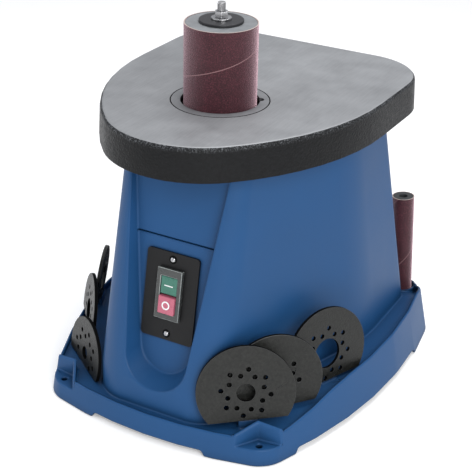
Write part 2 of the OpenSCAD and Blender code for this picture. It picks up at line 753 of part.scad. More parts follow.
// ---- Belt and worm drive ----
flange_w = 1.5;
belt_t = 3;
belt_seat = 1.5;
module pulley_disc(r) {
    difference() {
        cylinder(r = r + flange_w, h = pulley_w);
        translate([0, 0, flange_w]) ring(r + 5, r - belt_seat, pulley_w - 2 * flange_w);
    }
}
module driven_pulley() {
    color("gray") at_spindle() difference() {
        union() {
            translate([0, 0, pulley_low]) pulley_disc(spindle_pulley_r);
            translate([0, 0, case_low + 2]) cylinder(r = hub_r, h = hub_top - case_low - 2);
            translate([0, 0, lower_plate_top + seat]) cylinder(r = hub_r + 3, h = pulley_low - lower_plate_top);
        }
        translate([0, 0, case_low]) hexagon(hex_flat + 0.3, hub_top);
    }
}
module pulley_bearing() {
    color("gray") at_spindle() translate([0, 0, case_low + 2 + face])
        bearing_ring(pulley_bearing_r, hub_r + run_gap, pulley_bearing_w - face);
}
worm_turns = worm_l / worm_pitch;
module worm() {
    color("goldenrod") at_spindle() translate([0, 0, worm_h - worm_l / 2]) difference() {
        rotate([0, 0, -180 * worm_turns])
            linear_extrude(worm_l, twist = -360 * worm_turns, slices = ceil(10 * worm_turns))
            translate([tooth_h, 0]) circle(r = worm_r, $fn = 24);
        translate([0, 0, -1]) cylinder(r = hub_r + face, h = worm_l + 2);
    }
}
tooth_points = 6;
wheel_points = wheel_teeth * tooth_points;
function tooth_edge(k) = let (a = 360 * k / wheel_points, r = wheel_r + tooth_h * cos(wheel_teeth * a + 180))
    [-r * cos(a), r * sin(a)];
module worm_wheel() {
    color("goldenrod") at_spindle() translate([wheel_x, wheel_w / 2, worm_h]) rotate([90, 0, 0])
        linear_extrude(wheel_w) difference() {
            polygon([for (k = [0:wheel_points - 1]) tooth_edge(k)]);
            circle(r = 6 + face);
        }
}
module crank_shaft() {
    color("gainsboro") at_spindle() translate([wheel_x, 0, worm_h]) rotate([90, 0, 0]) {
        translate([0, 0, -30]) cylinder(r = 6, h = 30 + wheel_w / 2 + 1);
        translate([0, 0, wheel_w / 2 + face]) cylinder(r = 13.5, h = crank_web);
        translate([-crank_r, 0, wheel_w / 2 + 1]) cylinder(r = crank_pin_r, h = 9.5);
    }
}
rod_low_x = wheel_x - crank_r;
rod_span = lug_h - worm_h;
rod_turn = atan((wrist_x - rod_low_x) / rod_span);
module connecting_rod() {
    color("gray") at_spindle() translate([rod_low_x, rod_y, worm_h]) rotate([90, 0, 0]) linear_extrude(rod_t)
        difference() {
            union() {
                circle(r = 7.5);
                rotate([0, 0, -rod_turn]) {
                    translate([-4, 4]) square([8, rod_span / cos(rod_turn) - 8]);
                    translate([0, rod_span / cos(rod_turn)]) circle(r = 6.7);
                }
            }
            circle(r = crank_pin_r + run_gap);
            translate([wrist_x - rod_low_x, rod_span]) circle(r = crank_pin_r + run_gap);
        }
}
module belt_loop(grow) {
    big_r = spindle_pulley_r - belt_seat + grow;
    small_r = motor_pulley_r - belt_seat + grow;
    a = asin((big_r - small_r) / motor_reach);
    circle(r = big_r);
    translate([0, motor_reach]) circle(r = small_r);
    polygon([big_r * [cos(a), sin(a)], [small_r * cos(a), motor_reach + small_r * sin(a)],
        [-small_r * cos(a), motor_reach + small_r * sin(a)], big_r * [-cos(a), sin(a)]]);
}
module drive_belt() {
    color("dimgray") at_spindle() translate([0, 0, pulley_low + flange_w + seat])
        linear_extrude(pulley_w - 2 * flange_w - 2 * seat) difference() {
            belt_loop(belt_t + seat);
            belt_loop(seat);
        }
}

// ---- Motor ----
motor_bottom = 118;
motor_case_r = 50;
motor_case_t = 3.5;
shaft_r = 5;
motor_bearing_r = 11;
motor_bearing_w = 7;
core_low = 160;
core_h = 50;
module at_motor(z) { at_spindle() translate([0, motor_reach, z]) children(); }
module motor_case() {
    top = plate_bottom - face - motor_bottom;
    color("slategray") at_motor(motor_bottom) difference() {
        cylinder(r = motor_case_r, h = top);
        difference() {
            translate([0, 0, motor_case_t]) cylinder(r = motor_case_r - motor_case_t, h = top - 2 * motor_case_t);
            for (z = [0, top - 11]) translate([0, 0, z]) cylinder(r = motor_bearing_r + 3, h = 11);
            for (a = [45:90:359]) rotate([0, 0, a]) translate([38, 0, top - 14]) cylinder(r = 5.5, h = 14);
        }
        translate([0, 0, 2]) cylinder(r = motor_bearing_r + face, h = 10);
        translate([0, 0, -1]) cylinder(r = motor_bearing_r - 2, h = 12);
        translate([0, 0, top - 12]) cylinder(r = motor_bearing_r + face, h = 10);
        for (a = [45:90:359]) rotate([0, 0, a]) translate([38, 0, top - 12]) cylinder(r = screw_r + face, h = 13);
        for (a = [0:30:179]) rotate([0, 0, a + 15]) for (z = [12, top - 22])
            translate([-60, -4, z]) cube([120, 8, 10]);
    }
}
module motor_bearings() {
    color("gray") for (z = [motor_bottom + 3, plate_bottom - face - 2.5 - motor_bearing_w])
        at_motor(z) bearing_ring(motor_bearing_r, shaft_r + run_gap, motor_bearing_w);
}
module motor_stator() {
    color("gray") at_motor(core_low) ring(motor_case_r - motor_case_t - face, 30, core_h);
    color("peru") at_motor(core_low - 9) ring(43, 32, 9 - face);
    color("peru") at_motor(core_low + core_h + face) ring(43, 32, 9);
}
module motor_rotor() {
    color("gainsboro") {
        at_motor(core_low) cylinder(r = 29.4, h = core_h);
        at_motor(pulley_low - 3) cylinder(r = shaft_r, h = plate_bottom - 4 - pulley_low + 3);
    }
}
module motor_fan() {
    color("dimgray") at_motor(motor_bottom + 14) difference() {
        union() {
            cylinder(r = 9, h = 14);
            cylinder(r = 38, h = 1.6);
            for (a = [0:40:359]) rotate([0, 0, a]) translate([7, -0.8, 0]) cube([30, 1.6, 14]);
        }
        translate([0, 0, -1]) cylinder(r = shaft_r + face, h = 16);
    }
}
module motor_pulley() {
    color("gray") at_motor(pulley_low) difference() {
        pulley_disc(motor_pulley_r);
        translate([0, 0, -1]) cylinder(r = shaft_r + face, h = pulley_w + 2);
    }
}
module motor_screws() {
    color("gainsboro") for (a = [45:90:359]) at_motor(plate_top) rotate([0, 0, a]) translate([38, 0, 0])
        pan_screw(screw_r, 5.5, 3.5, 14);
}

// ---- Dust path ----
module dust_chute() {
    color("dimgray") at_spindle() difference() {
        union() {
            translate([0, 0, chute_bottom]) cylinder(r = chute_r, h = table_top - collar_h - 1 - chute_bottom);
            translate([0, 0, deck_h + face]) cylinder(r = chute_r + 8, h = 2.5);
            translate([0, port_y - 30, port_h]) rotate([90, 0, 0]) cylinder(r = port_r + chute_wall, h = port_y - 75);
        }
        translate([0, 0, chute_bottom + 3]) cylinder(r = chute_r - chute_wall, h = 100);
        translate([0, 0, chute_bottom - 1]) cylinder(r = 14, h = 10);
        translate([0, port_y, port_h]) rotate([90, 0, 0])
            cylinder(r = port_r - port_step + face, h = port_y - 45);
    }
}
module shaft_seal() {
    color("dimgray") at_spindle() translate([0, 0, chute_bottom + 3 + face]) ring(17, journal_r + 0.5, 4);
}
// The hose slides over a spigot, which is a little thicker than the pipe that runs inwards from it
spigot_l = 40;
port_step = 0.6;
module dust_port() {
    color("dimgray") at_spindle() difference() {
        union() {
            translate([0, port_end, port_h]) rotate([90, 0, 0]) cylinder(r = port_r, h = spigot_l);
            translate([0, port_end - spigot_l + 1, port_h]) rotate([90, 0, 0])
                cylinder(r = port_r - port_step, h = port_end - spigot_l + 1 - port_y + 45);
            translate([0, port_y, port_h]) rotate([back_lean - 90, 0, 0]) translate([0, 0, face])
                cylinder(r = port_r + 6, h = 3);
        }
        translate([0, port_end + 1, port_h]) rotate([90, 0, 0]) cylinder(r = port_r - port_wall, h = 160);
    }
}

// ---- Switch ----
frame_w = 30;
frame_l = 57;
button_w = 20;
button_l = 20;
on_y = 13.4;
off_y = -8;
plate_front = 2.6;
module block(w, l, z0, z1) { translate([-w / 2, -l / 2, z0]) cube([w, l, z1 - z0]); }
module switch_plate() {
    color("dimgray") at_spindle() on_channel() translate([0, 0, face]) linear_extrude(plate_front - face)
        difference() {
            plate_shape(switch_w / 2, -switch_l / 2, switch_l / 2, 4);
            translate([0, switch_mid]) square([switch_body_w + 0.4, switch_body_l + 0.4], center = true);
            for (s = [-1, 1]) translate([0, s * switch_screw_y]) circle(r = 1.7);
        }
}
module wells(gap, z0, z1) {
    for (y = [on_y, off_y]) translate([0, y, 0]) block(button_w + 2 * gap, button_l + 2 * gap, z0, z1);
}
module switch_body() {
    color("black") at_spindle() on_channel() {
        difference() {
            translate([0, switch_mid, 0]) block(switch_body_w, switch_body_l, -30, plate_front);
            wells(seat, -12, 10);
        }
        for (x = [-7, 7], y = [-14, 20]) translate([x, y, 0]) block(0.8, 6.3, -36, -29);
    }
}
module switch_frame() {
    color("gray") at_spindle() on_channel() difference() {
        translate([0, switch_mid, 0]) block(frame_w, frame_l, plate_front + face, 7.5);
        wells(seat, 0, 12);
        translate([0, (on_y + off_y) / 2, 0]) block(button_w + 0.6, 10, 0, 12);
    }
}
module on_button() {
    color("seagreen") at_spindle() on_channel() translate([0, on_y, 0]) block(button_w, button_l, -8, 7);
}
module off_button() {
    color("crimson") at_spindle() on_channel() translate([0, off_y, 0]) block(button_w, button_l, -8, 10);
}
module switch_screws() {
    color("gainsboro") at_spindle() on_channel() for (s = [-1, 1])
        translate([0, s * switch_screw_y, plate_front]) pan_screw(1.65, 3.6, 2, 9);
}
module cord_gland() {
    color("dimgray") at_spindle() translate([gland_at[0], body_back_y(gland_at[1]), gland_at[1]])
        difference() {
            union() {
                rotate([-90, 0, 0]) translate([0, 0, -10]) cylinder(r = gland_r, h = 22);
                rotate([back_lean - 90, 0, 0]) translate([0, 0, face]) cylinder(r = gland_r + 3, h = 4);
                rotate([-90, 0, 0]) translate([0, 0, 11]) cylinder(r1 = gland_r, r2 = 5.5, h = 14);
            }
            rotate([-90, 0, 0]) translate([0, 0, -12]) cylinder(r = 3.8, h = 40);
        }
}

housing();
base_plate();
base_plate_screws();
table();
table_screws();
table_insert();
insert_right_front();
insert_right_middle();
insert_right_rear();
insert_left_front();
insert_left_middle();
insert_left_rear();
stored_drum();
stored_sleeve();
drum();
sanding_sleeve();
lower_washer();
upper_washer();
lock_collar();
spindle_nut();
spindle();
spindle_clip();
quill();
quill_bearings();
quill_lug();
quill_housing();
quill_housing_screws();
chassis_plate();
chassis_posts();
chassis_screws();
driven_pulley();
pulley_bearing();
worm();
worm_wheel();
crank_shaft();
connecting_rod();
drive_belt();
motor_case();
motor_bearings();
motor_stator();
motor_rotor();
motor_fan();
motor_pulley();
motor_screws();
dust_chute();
dust_port();
shaft_seal();
switch_plate();
switch_body();
switch_frame();
on_button();
off_button();
switch_screws();
cord_gland();
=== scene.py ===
import json
import math

import bmesh
import bpy
from mathutils import Matrix, Vector
from mathutils.bvhtree import BVHTree

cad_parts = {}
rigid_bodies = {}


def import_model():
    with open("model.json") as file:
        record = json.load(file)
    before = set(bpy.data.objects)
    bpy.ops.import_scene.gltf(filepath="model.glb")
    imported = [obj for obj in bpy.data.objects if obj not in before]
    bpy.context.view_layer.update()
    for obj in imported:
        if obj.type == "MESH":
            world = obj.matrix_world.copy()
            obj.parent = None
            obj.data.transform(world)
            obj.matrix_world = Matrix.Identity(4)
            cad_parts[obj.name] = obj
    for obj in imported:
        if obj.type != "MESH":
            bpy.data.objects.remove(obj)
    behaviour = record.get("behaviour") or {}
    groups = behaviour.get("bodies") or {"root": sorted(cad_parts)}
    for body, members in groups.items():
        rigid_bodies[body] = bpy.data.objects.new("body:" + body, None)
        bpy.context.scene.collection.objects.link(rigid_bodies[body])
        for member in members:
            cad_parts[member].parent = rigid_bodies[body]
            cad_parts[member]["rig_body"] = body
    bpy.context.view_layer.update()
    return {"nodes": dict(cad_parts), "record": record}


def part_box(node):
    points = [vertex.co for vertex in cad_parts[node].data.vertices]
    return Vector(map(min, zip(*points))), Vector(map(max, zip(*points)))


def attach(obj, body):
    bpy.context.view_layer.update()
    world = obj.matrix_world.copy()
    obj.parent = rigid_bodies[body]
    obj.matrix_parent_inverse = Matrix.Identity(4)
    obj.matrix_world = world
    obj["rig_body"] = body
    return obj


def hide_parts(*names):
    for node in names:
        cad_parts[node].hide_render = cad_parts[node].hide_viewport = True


bl_info = {
    "name": "Oscillating spindle sander",
    "version": (1, 0, 0),
    "blender": (4, 5, 0),
    "location": "View3D > Sidebar > Sander",
    "description": "Dresses the packed spindle sander with its finishes and fine detail",
    "category": "Object",
}

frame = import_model()
TABLE_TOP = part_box("table")[1].z
DRUM_LOW, DRUM_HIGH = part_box("drum")
SPINDLE_Y = (DRUM_LOW.y + DRUM_HIGH.y) / 2
CHANNEL_TILT = 9.8  # degrees that the front channel leans back
SWITCH_AHEAD = 0.0989  # from the spindle's axis to the channel's floor at the switch
SWITCH_HEIGHT = 0.1495
SWITCH_PLACE = Matrix.Translation((0, SPINDLE_Y - SWITCH_AHEAD, SWITCH_HEIGHT)) @ Matrix.Rotation(
    math.radians(90 - CHANNEL_TILT), 4, "X")
# Each button's middle up the channel, and how far its face stands off the channel's floor
ON_MIDDLE, ON_FACE = 0.0134, 0.007
OFF_MIDDLE, OFF_FACE = -0.008, 0.010
PORT_HEIGHT = 0.28
PORT_RADIUS = 0.018
CURVE_ANGLE = 34  # degrees: on coarse curves, an edge up to this is shaded smooth, not rounded
FLAT_ANGLE = math.radians(0.3)  # faces this close to level with each other become one
STRAY_SHARE = 0.8  # of the rounding's width: a corner farther than this has strayed
INSERTS = ("right_front", "right_middle", "right_rear", "left_front", "left_middle", "left_rear")


# ---- Sizes and colours a user may change ----
class SanderSizes(bpy.types.PropertyGroup):
    housing_edge: bpy.props.FloatProperty(
        name="Housing edge", description="Rounding along the edges of the moulded housing",
        default=0.0019, min=0.0005, max=0.003, unit="LENGTH")
    table_edge: bpy.props.FloatProperty(
        name="Table edge", description="Rounding along the sharp edges of the table casting",
        default=0.0006, min=0.0002, max=0.0012, unit="LENGTH")
    insert_edge: bpy.props.FloatProperty(
        name="Insert edge", description="Rounding along the edges of the stored inserts",
        default=0.0005, min=0.0002, max=0.001, unit="LENGTH")
    small_edge: bpy.props.FloatProperty(
        name="Small edge", description="Rounding along the edges of small pieces",
        default=0.0004, min=0.0001, max=0.0008, unit="LENGTH")
    thread_pitch: bpy.props.FloatProperty(
        name="Thread pitch", description="Pitch of the thread on the spindle's end",
        default=0.00125, min=0.0008, max=0.002, unit="LENGTH")
    symbol_height: bpy.props.FloatProperty(
        name="Symbol height", description="How far the marks stand proud of the push buttons",
        default=0.0003, min=0.0001, max=0.0006, unit="LENGTH")
    hose_rings: bpy.props.IntProperty(
        name="Hose rings", description="Number of grip rings round the dust port",
        default=4, min=2, max=6)


class SanderColours(bpy.types.PropertyGroup):
    housing_blue: bpy.props.FloatVectorProperty(
        name="Housing blue", description="Colour of the moulded housing",
        default=(0.0115, 0.062, 0.17), size=3, min=0, max=1, subtype="COLOR")
    cast_black: bpy.props.FloatVectorProperty(
        name="Cast black", description="Colour of the painted skirt of the table",
        default=(0.006, 0.0064, 0.0072), size=3, min=0, max=1, subtype="COLOR")
    ground_iron: bpy.props.FloatVectorProperty(
        name="Ground iron", description="Colour of the ground face of the table",
        default=(0.256, 0.263, 0.274), size=3, min=0, max=1, subtype="COLOR")
    grit_red: bpy.props.FloatVectorProperty(
        name="Grit red", description="Colour of the abrasive sleeves",
        default=(0.045, 0.0105, 0.0155), size=3, min=0, max=1, subtype="COLOR")


class SanderLight(bpy.types.PropertyGroup):
    lens: bpy.props.FloatProperty(
        name="Lens", description="Focal length of the camera, in millimetres",
        default=98.05, min=20, max=200)
    key: bpy.props.FloatProperty(
        name="Key light", description="Power of the softbox on the right",
        default=33.5, min=0, max=200, unit="POWER")
    fill: bpy.props.FloatProperty(
        name="Fill light", description="Power of the softbox on the left",
        default=10, min=0, max=200, unit="POWER")
    top: bpy.props.FloatProperty(
        name="Top light", description="Power of the overhead softbox",
        default=25, min=0, max=200, unit="POWER")
    side: bpy.props.FloatProperty(
        name="Side light", description="Power of the narrow softbox at the far right",
        default=1, min=0, max=200, unit="POWER")
    low: bpy.props.FloatProperty(
        name="Low light", description="Power of the flat softbox near the floor in front",
        default=1.2, min=0, max=200, unit="POWER")
    sky: bpy.props.FloatProperty(
        name="Sky", description="Strength of the pale surroundings", default=0.5, min=0, max=3)


# ---- Finishes ----
def node(tree, kind, **inputs):
    """A new node with the given numbers on its own sockets."""
    made = tree.nodes.new(kind)
    for name, value in inputs.items():
        if name in made.inputs:
            made.inputs[name].default_value = value
    return made


def fresh_material(name):
    """An empty material, named as a finish."""
    made = bpy.data.materials.new("finish_" + name)
    made.use_nodes = True
    made.node_tree.nodes.clear()
    return made


def noise_on(tree, place, scale, detail=4.0, rough=0.55):
    """Noise read at a place, as one number."""
    made = node(tree, "ShaderNodeTexNoise", Scale=scale, Detail=detail, Roughness=rough)
    tree.links.new(place, made.inputs["Vector"])
    return made.outputs["Fac"]


def spread(tree, value, low, high, start=0.3, end=0.7):
    """Stretches the values from start to end over low to high."""
    made = node(tree, "ShaderNodeMapRange")
    for name, number in (("From Min", start), ("From Max", end), ("To Min", low), ("To Max", high)):
        made.inputs[name].default_value = number
    tree.links.new(value, made.inputs["Value"])
    return made.outputs["Result"]


def blend_colour(tree, factor, first, second):
    """A colour between two, each of which is a colour or a node's output."""
    made = tree.nodes.new("ShaderNodeMix")
    made.data_type = "RGBA"
    tree.links.new(factor, made.inputs[0])
    for socket, colour in ((made.inputs[6], first), (made.inputs[7], second)):
        if hasattr(colour, "is_output"):
            tree.links.new(colour, socket)
        else:
            socket.default_value = (*colour, 1)
    return made.outputs[2]


def shade(colour, by):
    """The colour made darker or lighter."""
    return tuple(min(1.0, c * by) for c in colour)


def finish(name, colour, roughness, metallic=0.0, patch=30.0, patch_depth=0.12, grain=900.0,
           bump=0.0002, strength=0.35, rough_spread=0.08, stretch=None, painted_shade=None, **shader):
    """A finish with soft patches of tone, a fine grain in relief, and uneven gloss.

    Given (reach, depth), painted shade darkens the tone where a wall stands within reach."""
    made = fresh_material(name)
    tree = made.node_tree
    place = tree.nodes.new("ShaderNodeTexCoord").outputs["Object"]
    fine = place
    if stretch:
        turn = tree.nodes.new("ShaderNodeMapping")
        turn.inputs["Scale"].default_value = stretch
        tree.links.new(place, turn.inputs["Vector"])
        fine = turn.outputs["Vector"]
    patches = noise_on(tree, place, patch)
    grains = noise_on(tree, fine, grain, 3.0, 0.6)
    surface = node(tree, "ShaderNodeBsdfPrincipled", Metallic=metallic)
    for socket, value in shader.items():
        surface.inputs[socket.replace("_", " ")].default_value = value
    tone = blend_colour(tree, spread(tree, patches, 0, 1), shade(colour, 1 - patch_depth),
                        shade(colour, 1 + patch_depth))
    tone = blend_colour(tree, spread(tree, grains, 0, patch_depth), tone, shade(colour, 0.6))
    if painted_shade:
        # Painted shade: occlusion darkens the tone towards near black, in place of contact shadows.
        shade_occlusion = node(tree, "ShaderNodeAmbientOcclusion", Distance=painted_shade[0])
        shade_occlusion.samples = 6
        tone = blend_colour(tree, spread(tree, shade_occlusion.outputs["AO"], painted_shade[1], 0, 0.1, 0.8),
                            tone, shade(colour, 0.08))
    tree.links.new(tone, surface.inputs["Base Color"])
    tree.links.new(spread(tree, patches, roughness - rough_spread, roughness + rough_spread),
                   surface.inputs["Roughness"])
    relief = node(tree, "ShaderNodeBump", Strength=strength, Distance=bump)
    tree.links.new(grains, relief.inputs["Height"])
    tree.links.new(relief.outputs["Normal"], surface.inputs["Normal"])
    out = tree.nodes.new("ShaderNodeOutputMaterial")
    tree.links.new(surface.outputs["BSDF"], out.inputs["Surface"])
    return made


def ground_face():
    """The table's ground face: grey iron with faint grinding marks and mottling."""
    colour = tuple(bpy.context.scene.sander_colours.ground_iron)
    made = fresh_material("ground_face")
    tree = made.node_tree
    place = tree.nodes.new("ShaderNodeTexCoord").outputs["Object"]
    turn = tree.nodes.new("ShaderNodeMapping")
    turn.inputs["Rotation"].default_value = (0, 0, 0.5)
    turn.inputs["Scale"].default_value = (1, 0.06, 1)
    tree.links.new(place, turn.inputs["Vector"])
    marks = noise_on(tree, turn.outputs["Vector"], 700, 3.0, 0.6)
    mottle = noise_on(tree, place, 26, 5.0, 0.6)
    wide = noise_on(tree, place, 6, 2.0, 0.5)
    tone = blend_colour(tree, spread(tree, mottle, 0, 1), shade(colour, 0.86), shade(colour, 1.12))
    tone = blend_colour(tree, spread(tree, wide, 0, 0.5), tone, shade(colour, 0.7))
    tone = blend_colour(tree, spread(tree, marks, 0, 0.22), tone, shade(colour, 1.5))
    surface = node(tree, "ShaderNodeBsdfPrincipled", Metallic=0.35)
    tree.links.new(tone, surface.inputs["Base Color"])
    tree.links.new(spread(tree, mottle, 0.42, 0.56), surface.inputs["Roughness"])
    relief = node(tree, "ShaderNodeBump", Strength=0.12, Distance=0.0001)
    tree.links.new(marks, relief.inputs["Height"])
    tree.links.new(relief.outputs["Normal"], surface.inputs["Normal"])
    out = tree.nodes.new("ShaderNodeOutputMaterial")
    tree.links.new(surface.outputs["BSDF"], out.inputs["Surface"])
    return made


def rim_wear_and_glint(made):
    """Pale flecks on the table's upper rim: paint worn to bare iron, and a painted highlight too.
    """
    tree = made.node_tree
    surface = next(n for n in tree.nodes if n.type == "BSDF_PRINCIPLED")
    place = next(n for n in tree.nodes if n.type == "TEX_COORD").outputs["Object"]
    paint = surface.inputs["Base Color"].links[0].from_socket
    split = tree.nodes.new("ShaderNodeSeparateXYZ")
    tree.links.new(place, split.inputs["Vector"])
    painted, bare = TABLE_TOP - 0.006, TABLE_TOP - 0.001
    near_rim = spread(tree, split.outputs["Z"], 0, 1, painted, bare)
    flecks = spread(tree, noise_on(tree, place, 700, 3.0, 0.7), 0, 0.8, 0.5, 0.66)
    wear_and_glint = tree.nodes.new("ShaderNodeMath")
    wear_and_glint.operation = "MULTIPLY"
    tree.links.new(near_rim, wear_and_glint.inputs[0])
    tree.links.new(flecks, wear_and_glint.inputs[1])
    # Pale grey of bare iron, which also serves as a painted glint on the rounded edge
    bare_iron_and_glint = (0.2, 0.21, 0.225)
    tone = blend_colour(tree, wear_and_glint.outputs[0], paint, bare_iron_and_glint)
    tree.links.new(tone, surface.inputs["Base Color"])
    return made


def grit_cloth(name, centre, lean, seam_pitch, seam_turn):
    """Abrasive cloth: a dense grit, paler along the seam that winds round the sleeve."""
    colour = tuple(bpy.context.scene.sander_colours.grit_red)
    made = fresh_material(name)
    tree = made.node_tree
    place = tree.nodes.new("ShaderNodeTexCoord").outputs["Object"]
    turn = tree.nodes.new("ShaderNodeMapping")
    turn.vector_type = "TEXTURE"
    turn.inputs["Location"].default_value = centre
    turn.inputs["Rotation"].default_value = (0, lean, 0)
    tree.links.new(place, turn.inputs["Vector"])
    split = tree.nodes.new("ShaderNodeSeparateXYZ")
    tree.links.new(turn.outputs["Vector"], split.inputs["Vector"])

    def maths(operation, first, second=None):
        step = tree.nodes.new("ShaderNodeMath")
        step.operation = operation
        for socket, value in zip(step.inputs, (first, second)):
            if value is None:
                continue
            if hasattr(value, "is_output"):
                tree.links.new(value, socket)
            else:
                socket.default_value = value
        return step.outputs[0]

    angle = maths("DIVIDE", maths("ARCTAN2", split.outputs["Y"], split.outputs["X"]), 2 * math.pi)
    climb = maths("DIVIDE", split.outputs["Z"], seam_pitch)
    run = maths("FRACT", maths("ADD", maths("SUBTRACT", climb, angle), seam_turn))
    seam_width = 0.0009
    seam = maths("LESS_THAN", run, seam_width / seam_pitch)
    lap = maths("LESS_THAN", run, 0.5)
    grains = noise_on(tree, place, 760, 3.0, 0.75)
    patches = noise_on(tree, place, 60, 4.0, 0.6)
    tone = blend_colour(tree, spread(tree, patches, 0, 1), shade(colour, 0.6), shade(colour, 0.95))
    tone = blend_colour(tree, spread(tree, grains, 0, 0.85, 0.5, 0.74), tone, shade(colour, 3.2))
    tone = blend_colour(tree, spread(tree, grains, 0.7, 0, 0.3, 0.46), tone, shade(colour, 0.35))
    tone = blend_colour(tree, maths("MULTIPLY", lap, 0.12), tone, shade(colour, 0.7))
    pale_cloth = (0.3, 0.17, 0.175)
    tone = blend_colour(tree, maths("MULTIPLY", seam, 0.7), tone, pale_cloth)
    surface = node(tree, "ShaderNodeBsdfPrincipled", Roughness=0.5)
    surface.inputs["Specular IOR Level"].default_value = 0.2
    surface.inputs["Sheen Weight"].default_value = 1.0
    surface.inputs["Sheen Roughness"].default_value = 0.42
    surface.inputs["Sheen Tint"].default_value = (1, 0.68, 0.76, 1)
    tree.links.new(tone, surface.inputs["Base Color"])
    relief = node(tree, "ShaderNodeBump", Strength=0.8, Distance=0.0006)
    tree.links.new(grains, relief.inputs["Height"])
    tree.links.new(relief.outputs["Normal"], surface.inputs["Normal"])
    out = tree.nodes.new("ShaderNodeOutputMaterial")
    tree.links.new(surface.outputs["BSDF"], out.inputs["Surface"])
    return made


def make_finishes():
    """Every finish on the machine, by name."""
    colours = bpy.context.scene.sander_colours
    blue = tuple(colours.housing_blue)
    black = tuple(colours.cast_black)
    return {
        # The housing's tone carries painted shade in its corners and round the stored inserts.
        "housing_blue": finish("housing_blue", blue, 0.46, patch=9, patch_depth=0.05, grain=1400,
                               bump=0.0001, strength=0.22, rough_spread=0.05,
                               painted_shade=(0.022, 1.0), Specular_IOR_Level=0.2),
        "cast_black": rim_wear_and_glint(finish("cast_black", shade(black, 0.8), 0.42, patch=260,
                                      patch_depth=0.5, grain=420, bump=0.001, strength=0.85,
                                      Specular_IOR_Level=0.16)),
        "insert_black": finish("insert_black", (0.0135, 0.014, 0.0125), 0.42, patch=320,
                               patch_depth=0.6, grain=520, bump=0.0006, strength=0.85,
                               Specular_IOR_Level=0.3),
        "black_plastic": finish("black_plastic", (0.007, 0.007, 0.0075), 0.45, patch=70,
                                patch_depth=0.1, grain=1500, bump=0.0001, strength=0.35,
                                Specular_IOR_Level=0.22),
        "grey_plastic": finish("grey_plastic", (0.04, 0.043, 0.042), 0.25, patch=90,
                               patch_depth=0.08, grain=1500, bump=0.0001, strength=0.2),
        # Pale grey on the switch frame's rounded edges: a painted highlight along the clear
        # plastic.
        "clear_edge": finish("clear_edge", (0.26, 0.28, 0.275), 0.2, patch=160, patch_depth=0.25,
                             grain=1500, bump=0.0001, strength=0.2),
        # Near black used only as painted shade: round the insert ring, on the plates' sides, round
        # the screws.
        "deep_black": finish("deep_black", (0.0015, 0.0015, 0.0015), 0.8, patch=200,
                             patch_depth=0.1, grain=1500, bump=0.0001, strength=0.2,
                             Specular_IOR_Level=0.1),
        # Lighter grey on the plates' rounded edges: a painted highlight along their rims.
        "insert_rim": finish("insert_rim", (0.03, 0.031, 0.031), 0.38, patch=260, patch_depth=0.6,
                             grain=900, bump=0.0003, strength=0.5),
        "green_plastic": finish("green_plastic", (0.03, 0.14, 0.1), 0.3, patch=120,
                                patch_depth=0.08, grain=1200, bump=0.0001, strength=0.12),
        "red_plastic": finish("red_plastic", (0.42, 0.1, 0.15), 0.3, patch=120, patch_depth=0.08,
                              grain=1200, bump=0.0001, strength=0.12),
        "white_mark": finish("white_mark", (0.72, 0.74, 0.74), 0.45, patch=200, patch_depth=0.04,
                             grain=1500, bump=0.0001, strength=0.1),
        "rubber": finish("rubber", (0.18, 0.19, 0.2), 0.65, patch=80, patch_depth=0.18,
                         grain=1100, bump=0.0002, strength=0.4),
        "dark_rubber": finish("dark_rubber", (0.03, 0.032, 0.034), 0.65, patch=80, patch_depth=0.18,
                              grain=1100, bump=0.0002, strength=0.4),
        "cloth_edge": finish("cloth_edge", (0.5, 0.42, 0.38), 0.8, patch=300, patch_depth=0.1,
                             grain=1500, bump=0.0002, strength=0.4),
        # The insert ring's tone carries painted shade where the drum and the table stand close.
        "ring_steel": finish("ring_steel", (0.2, 0.205, 0.215), 0.5, metallic=0.3, patch=60,
                             patch_depth=0.12, grain=900, bump=0.0001, strength=0.2,
                             painted_shade=(0.014, 0.9)),
        "steel": finish("steel", (0.5, 0.5, 0.51), 0.3, metallic=1.0, patch=150, patch_depth=0.1,
                        grain=1200, bump=0.0001, strength=0.2, stretch=(1, 1, 12)),
        "black_steel": finish("black_steel", (0.035, 0.035, 0.038), 0.4, metallic=0.5, patch=120,
                              patch_depth=0.2, grain=900, bump=0.0001, strength=0.3),
        "cast_alloy": finish("cast_alloy", (0.42, 0.42, 0.44), 0.5, metallic=0.85, patch=50,
                             patch_depth=0.12, grain=600, bump=0.0004, strength=0.5),
        "sheet_steel": finish("sheet_steel", (0.16, 0.16, 0.17), 0.45, metallic=0.6, patch=40,
                              patch_depth=0.12, grain=900, bump=0.0001, strength=0.2),
        "bronze": finish("bronze", (0.36, 0.23, 0.09), 0.38, metallic=1.0, patch=120,
                         patch_depth=0.15, grain=900, bump=0.0001, strength=0.2),
        "copper": finish("copper", (0.4, 0.17, 0.08), 0.35, metallic=0.9, patch=200,
                         patch_depth=0.2, grain=1500, bump=0.0003, strength=0.6,
                         stretch=(1, 1, 0.1)),
        "ground_face": ground_face(),
        "grit_cloth": grit_cloth("grit_cloth", (0, SPINDLE_Y, TABLE_TOP), 0, 0.079, 0.262),
        "stored_grit_cloth": grit_cloth("stored_grit_cloth", (0.136, SPINDLE_Y + 0.226, 0.042),
                                        math.radians(-3), 0.09, 0.3),
    }


def finish_named(name):
    """The finish that make_finishes has made under this name."""
    made = bpy.data.materials.get("finish_" + name)
    if made is None:
        raise RuntimeError(f"the finish {name} isn't made yet")
    return made


# ---- Making pieces ----
def place_object(name, mesh, body, slot, *materials):
    """Puts a finished mesh into the scene, riding on a body, with the given finishes; the slot is
    not used.
    """
    for material in materials:
        mesh.materials.append(finish_named(material))
    made = bpy.data.objects.new(name, mesh)
    bpy.context.scene.collection.objects.link(made)
    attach(made, body)
    return made


